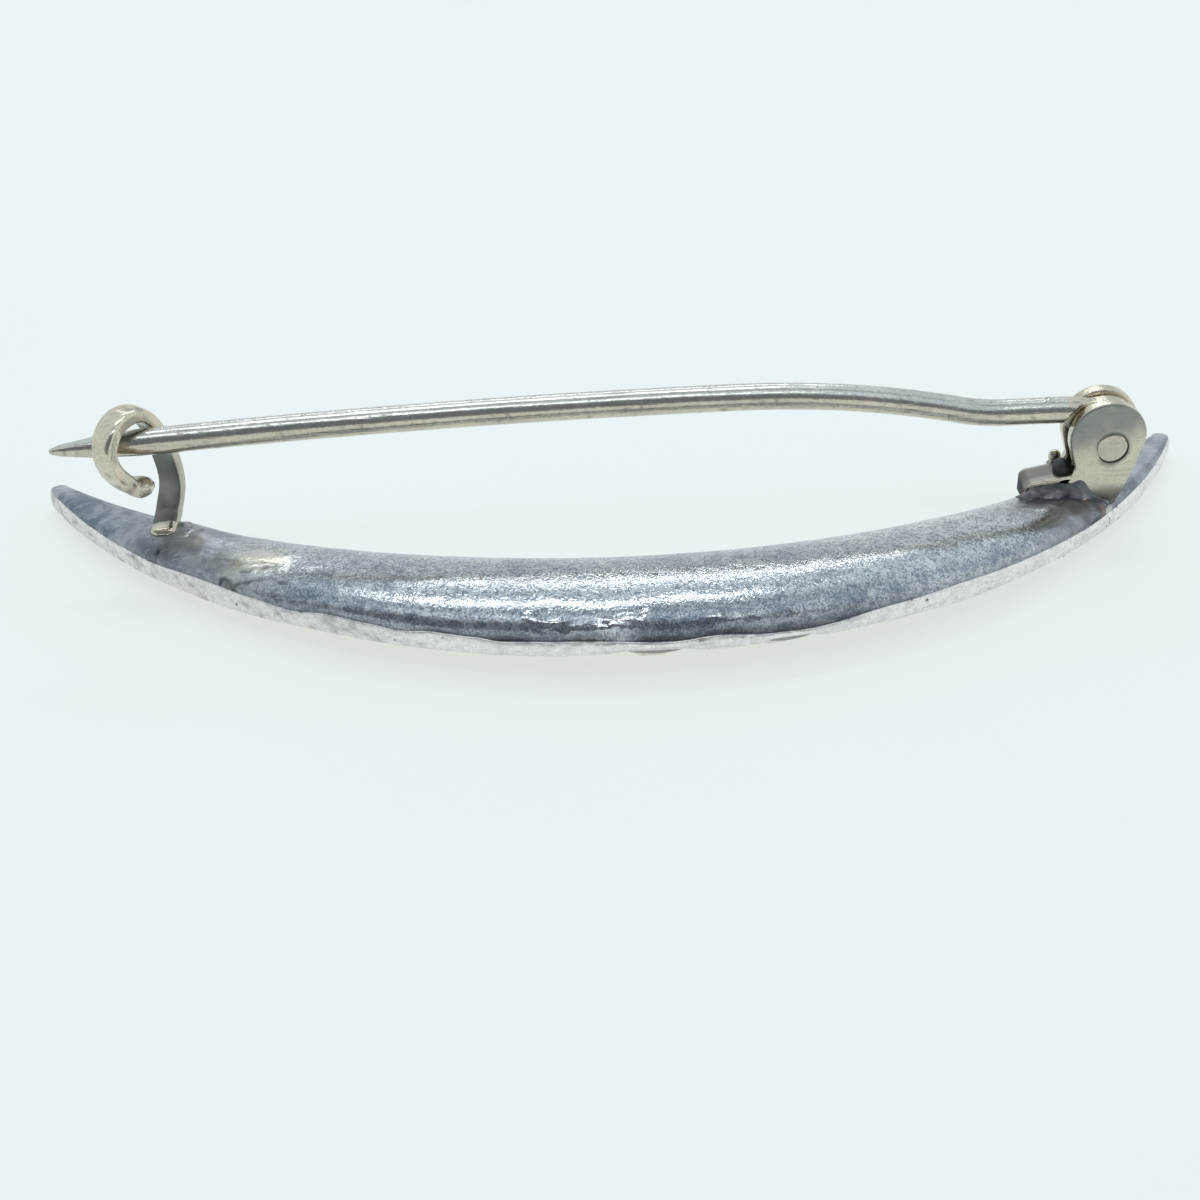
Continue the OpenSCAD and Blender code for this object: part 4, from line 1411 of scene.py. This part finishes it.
def dull_nickel(finish, groups):
    """Pin, hinge and catch: yellowish metal with rubbed brightness, dulled patches, painted shade and painted
    reflections, draw lines and specks.
    """
    tree, shader = new_material("dull_nickel", 1.0)
    grain = use_group(tree, groups["grain"], Scale=4200.0)
    cloud = use_group(tree, groups["patches"], Scale=600.0, Low=0.4, High=0.64).outputs["Mask"]
    lines = use_group(tree, groups["scratches"], Scale=7000.0).outputs["Lines"]
    pits = use_group(tree, groups["pits"], Scale=2800.0, Size=0.15).outputs["Mask"]
    dull = mask_of(tree, "dull")
    # Painted sky reflection on the pin's upper side
    base = blended(tree, mask_of(tree, "cool"), finish.nickel, finish.nickel_sky_reflection)
    # Dulled patches, with painted shade and a painted dark reflection, towards the darker nickel
    base = blended(tree, plus(tree, times(tree, cloud, 0.13), dull, 0.85), base, finish.nickel_shade)
    base = tinted(tree, base, grain.outputs["Fold"], 0.2, finish.nickel_shade)
    base = tinted(tree, base, lines, 0.25, finish.nickel_shade)
    # Dirt, painted shade and pits, towards the dirt colour
    grime_and_shade = larger(tree, mask_of(tree, "dirt"), times(tree, pits, 0.8))
    base = tinted(tree, base, grime_and_shade, 0.85, finish.dirt)
    rough = plus(tree, 0.13, grain.outputs["Height"], 0.12)
    rough = plus(tree, plus(tree, rough, dull, 0.16), grime_and_shade, 0.35)
    height = plus(tree, plus(tree, grain.outputs["Height"], lines, -0.3), grime_and_shade, -0.5)
    surface(tree, shader, base, rough, height, 0.000007)


def paste(groups):
    """Old cut glass: clear, with faint wear on its facets."""
    tree, shader = new_material("paste", 0.0)
    shader.inputs["Transmission Weight"].default_value = 1.0
    shader.inputs["IOR"].default_value = 1.58
    lines = use_group(tree, groups["scratches"], Scale=5200.0).outputs["Lines"]
    cloud = use_group(tree, groups["patches"], Scale=420.0, Low=0.35, High=0.7).outputs["Mask"]
    tint = blended(tree, cloud, (0.985, 0.975, 0.955), (0.93, 0.935, 0.93))
    plug(tree, shader.inputs["Base Color"], tint)
    plug(tree, shader.inputs["Roughness"], plus(tree, 0.012, lines, 0.05))


def pale_floor(finish, groups):
    """Matt pale floor with a very faint cloudiness."""
    tree, shader = new_material("pale_floor", 0.0)
    cloud = use_group(tree, groups["patches"], Scale=9.0, Low=0.3, High=0.7).outputs["Mask"]
    tone = tuple(finish.floor)
    plug(tree, shader.inputs["Base Color"], blended(tree, cloud, tone, tuple(0.985 * c for c in tone)))
    shader.inputs["Roughness"].default_value = 0.9
    shader.inputs["Specular IOR Level"].default_value = 0.0
    glow = tuple(finish.floor_glow)
    plug(tree, shader.inputs["Emission Color"], blended(tree, cloud, glow, tuple(0.99 * c for c in glow)))
    shader.inputs["Emission Strength"].default_value = 1.0


def materials():
    """The finishes by name, made once from the colours in the panel."""
    if "oxidised_silver" not in bpy.data.materials:
        finish = bpy.context.scene.brooch_finish
        groups = {"grain": grain_group(), "patches": patch_group(), "scratches": scratch_group(),
                  "pits": pit_group()}
        for build in (oxidised_silver, worn_silver, dull_nickel, pale_floor):
            build(finish, groups)
        paste(groups)
    return bpy.data.materials


# Stage

# The camera's shift sideways and up in its own plane, in metres
CAMERA_RIGHT = -0.002043
CAMERA_UP = 0.00298
SENSOR_WIDTH = 36
# Radius of the floor, and its height a hair under the stones, in metres
FLOOR_RADIUS = 1.6
FLOOR_HEIGHT = -0.00001
# The lights stand this far from a point in the brooch, in metres
LIGHT_DISTANCE = 0.3
LIT_POINT = (0, 0, 0.002)
LIGHTS = [
    # name, azimuth and elevation in degrees, length, width, its power in the panel
    ("back_strip", 3, 36, 0.16, 0.014, "back_light"),
    ("top_strip", -8, 71, 0.17, 0.016, "top_light"),
    ("front_strip", 193, 65, 0.235, 0.02, "front_light"),
]


def studio_world(strength):
    """Soft light tent: pale walls and ceiling, with a dark opening in front, by the direction alone."""
    world = bpy.data.worlds.new("tent")
    world.use_nodes = True
    tree = world.node_tree
    back = tree.nodes["Background"]
    direction = tree.nodes.new("ShaderNodeTexCoord").outputs["Generated"]
    x, y, z = add(tree, "SeparateXYZ", Vector=direction).outputs
    wall = blended(tree, ramped(tree, z, 0.1, 0.6), (0.84, 0.86, 0.85), (0.7, 0.775, 0.82))
    overhead = ramped(tree, sums(tree, "ABSOLUTE", y), 0.04, 0.15, 1.0, 0.0)
    overhead = times(tree, overhead, ramped(tree, z, 0.8, 0.92))
    wall = tinted(tree, wall, overhead, 0.62, (0.16, 0.172, 0.195))
    forward = ramped(tree, plus(tree, times(tree, y, -1.0), x, -0.3), 0.5, 0.64)
    opening = times(tree, forward, ramped(tree, z, 0.03, 0.12))
    band = times(tree, ramped(tree, z, 0.1, 0.2), ramped(tree, z, 0.34, 0.46, 1.0, 0.0))
    band = times(tree, band, ramped(tree, y, 0.3, 0.7))
    wall = tinted(tree, wall, band, 0.4, (0.3, 0.31, 0.34))
    plug(tree, back.inputs["Color"], blended(tree, opening, wall, (0.18, 0.192, 0.215)))
    back.inputs["Strength"].default_value = strength
    return world


def soft_light(name, place, size, power):
    """Long soft light that looks at the brooch: place and size in metres."""
    lamp = bpy.data.lights.new(name, "AREA")
    lamp.shape = "RECTANGLE"
    lamp.size, lamp.size_y = size
    lamp.energy = power
    light = new_object(name, lamp)
    light.location = place
    light.rotation_euler = (Vector(LIT_POINT) - Vector(place)).to_track_quat("-Z", "Y").to_euler()


def towards(azimuth, elevation, distance):
    """Point at a distance in a direction: azimuth 0 is behind the brooch, and positive is to the right."""
    a, e = math.radians(azimuth), math.radians(elevation)
    flat = distance * math.cos(e)
    return flat * math.sin(a), flat * math.cos(a), distance * math.sin(e)


def photo_camera(stage, plan):
    """Camera at the fitted view: along its line of sight, then moved sideways and up in its own plane."""
    a, e, r = stage.azimuth, stage.elevation, stage.roll
    right = Vector((math.cos(a), math.sin(a), 0))
    sight = Vector((-math.sin(a) * math.cos(e), math.cos(a) * math.cos(e), -math.sin(e)))
    up = Vector((-math.sin(a) * math.sin(e), math.cos(a) * math.sin(e), math.cos(e)))
    front = Vector((0, -plan.depth / 2 * MM, 0))
    place = CAMERA_RIGHT * right + CAMERA_UP * up - stage.distance * sight + front
    own_right = math.cos(r) * right - math.sin(r) * up
    own_up = math.sin(r) * right + math.cos(r) * up
    data = bpy.data.cameras.new("camera")
    data.sensor_width = SENSOR_WIDTH
    data.lens = stage.lens
    data.clip_start, data.clip_end = 0.002, 10
    camera = new_object("camera", data)
    camera.matrix_world = (
        Matrix.Translation(place) @ Matrix((own_right, own_up, -sight)).transposed().to_4x4())
    bpy.context.scene.camera = camera


def floor_sheet():
    """Wide floor just under the stones: rings of a disc that grow outwards."""
    radius = np.concatenate([[0.0005], np.geomspace(0.02, FLOOR_RADIUS, 12)])[:, None]
    turn = np.linspace(0, 2 * np.pi, 64, endpoint=False)
    points = np.stack(np.broadcast_arrays(radius * np.cos(turn), radius * np.sin(turn), FLOOR_HEIGHT), -1)
    mesh = bpy.data.meshes.new("floor")
    faces = grid_faces(len(radius), len(turn), round_columns=True).tolist()
    faces.append(list(range(len(turn))))
    mesh.from_pydata(points.reshape(-1, 3), [], faces)
    return new_object("floor", mesh)


# Operators

def current():
    """Sizes from the panel, and the plan that follows from them."""
    sizes = bpy.context.scene.brooch_sizes
    return sizes, Plan(sizes)


class BROOCH_OT_back(bpy.types.Operator):
    """Build the domed back of the crescent"""

    bl_idname = "brooch.back"
    bl_label = "Back"

    def execute(self, context):
        _, plan = current()
        shape, masks = back_shell(plan)
        make_piece("back_shell", shape, plan, "oxidised_silver", BROOCH, ["crescent"], masks)
        return {"FINISHED"}


class BROOCH_OT_setting(bpy.types.Operator):
    """Build the rim, the front face, the walls round the stones and the grains"""

    bl_idname = "brooch.setting"
    bl_label = "Setting"

    def execute(self, context):
        _, plan = current()
        metal = "worn_silver"
        shape = setting_rim(plan)
        masks = rim_masks(shape[0])
        cut_wells(make_piece("setting_rim", shape, plan, metal, BROOCH, ["crescent"], masks), plan)
        walls = joined([collet(plan, angle) for angle in plan.stones])
        masks = collet_masks(plan, walls)
        make_piece("stone_walls", walls, plan, metal, BROOCH, ["crescent"], masks)
        make_piece("grains", grains(plan), plan, metal, BROOCH, ["crescent"])
        return {"FINISHED"}


class BROOCH_OT_stones(bpy.types.Operator):
    """Give the cut stones their glass"""

    bl_idname = "brooch.stones"
    bl_label = "Stones"

    def execute(self, context):
        glass = materials()["paste"]
        stones = [piece for name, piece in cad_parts.items() if name.startswith("stone_")]
        if not stones:
            raise RuntimeError("the frame has no stones")
        for stone in stones:
            stone.data.materials.clear()
            stone.data.materials.append(glass)
        return {"FINISHED"}


class BROOCH_OT_hinge(bpy.types.Operator):
    """Build the hinge bracket and its rivet"""

    bl_idname = "brooch.hinge"
    bl_label = "Hinge"

    def execute(self, context):
        sizes, plan = current()
        metal = "dull_nickel"
        shape = hinge_bracket(sizes)
        masks = bracket_masks(shape[0], sizes)
        make_piece("hinge_bracket", shape, plan, metal, BROOCH, ["crescent"], masks)
        shape = rivet(sizes)
        masks = {"dull": 0.35 + 0.1 * lattice_noise(shape[0], 0.3, 64)}
        make_piece("hinge_rivet", shape, plan, metal, BROOCH, ["rivet"], masks)
        return {"FINISHED"}


class BROOCH_OT_catch(bpy.types.Operator):
    """Build the catch hook"""

    bl_idname = "brooch.catch"
    bl_label = "Catch"

    def execute(self, context):
        sizes, plan = current()
        shape, hollow = catch_hook(sizes)
        masks = hook_masks(shape[0], hollow)
        make_piece("catch_hook", shape, plan, "dull_nickel", BROOCH, ["crescent"], masks)
        return {"FINISHED"}


class BROOCH_OT_solder(bpy.types.Operator):
    """Build the lumps of solder at the hinge and the catch"""

    bl_idname = "brooch.solder"
    bl_label = "Solder"

    def execute(self, context):
        _, plan = current()
        shape = solder_lumps()
        masks = lump_masks(shape[0])
        make_piece("solder_lumps", shape, plan, "oxidised_silver", BROOCH, ["crescent"], masks)
        return {"FINISHED"}


class BROOCH_OT_pin(bpy.types.Operator):
    """Build the pin with its point and its eye"""

    bl_idname = "brooch.pin"
    bl_label = "Pin"

    def execute(self, context):
        sizes, plan = current()
        shape = pin_wire(sizes)
        masks = pin_masks(shape[0], sizes)
        make_piece("pin_wire", shape, plan, "dull_nickel", PIN_ARM, ["pin"], masks)
        return {"FINISHED"}


class BROOCH_OT_stage(bpy.types.Operator):
    """Set up the floor, the light and the camera"""

    bl_idname = "brooch.stage"
    bl_label = "Stage"

    def execute(self, context):
        _, plan = current()
        stage = context.scene.brooch_stage
        context.scene.world = studio_world(stage.tent)
        context.scene.view_settings.view_transform = "Standard"
        floor = floor_sheet()
        floor.data.materials.append(materials()["pale_floor"])
        for name, azimuth, elevation, length, width, power in LIGHTS:
            place = towards(azimuth, elevation, LIGHT_DISTANCE)
            soft_light(name, place, (length, width), getattr(stage, power))
        photo_camera(stage, plan)
        return {"FINISHED"}


class BROOCH_PT_panel(bpy.types.Panel):
    """Lists the pieces and their values"""

    bl_label = "Brooch"
    bl_idname = "BROOCH_PT_panel"
    bl_space_type = "VIEW_3D"
    bl_region_type = "UI"
    bl_category = "Brooch"

    def draw(self, context):
        for group in (context.scene.brooch_sizes, context.scene.brooch_finish, context.scene.brooch_stage):
            box = self.layout.box()
            for key in group.__annotations__:
                box.prop(group, key)
        for operator in OPERATORS:
            self.layout.operator(operator.bl_idname)


OPERATORS = (
    BROOCH_OT_back, BROOCH_OT_setting, BROOCH_OT_stones, BROOCH_OT_hinge, BROOCH_OT_catch, BROOCH_OT_solder,
    BROOCH_OT_pin, BROOCH_OT_stage,
)
GROUPS = {"brooch_sizes": BroochSizes, "brooch_finish": BroochFinish, "brooch_stage": BroochStage}


def register():
    for group in GROUPS.values():
        bpy.utils.register_class(group)
    for key, group in GROUPS.items():
        setattr(bpy.types.Scene, key, bpy.props.PointerProperty(type=group))
    for operator in OPERATORS:
        bpy.utils.register_class(operator)
    bpy.utils.register_class(BROOCH_PT_panel)


def unregister():
    bpy.utils.unregister_class(BROOCH_PT_panel)
    for operator in reversed(OPERATORS):
        bpy.utils.unregister_class(operator)
    for key, group in GROUPS.items():
        delattr(bpy.types.Scene, key)
        bpy.utils.unregister_class(group)


def main():
    register()
    bpy.ops.brooch.back()
    bpy.ops.brooch.setting()
    bpy.ops.brooch.stones()
    bpy.ops.brooch.hinge()
    bpy.ops.brooch.catch()
    bpy.ops.brooch.solder()
    bpy.ops.brooch.pin()
    bpy.ops.brooch.stage()


if __name__ == "__main__":
    main()
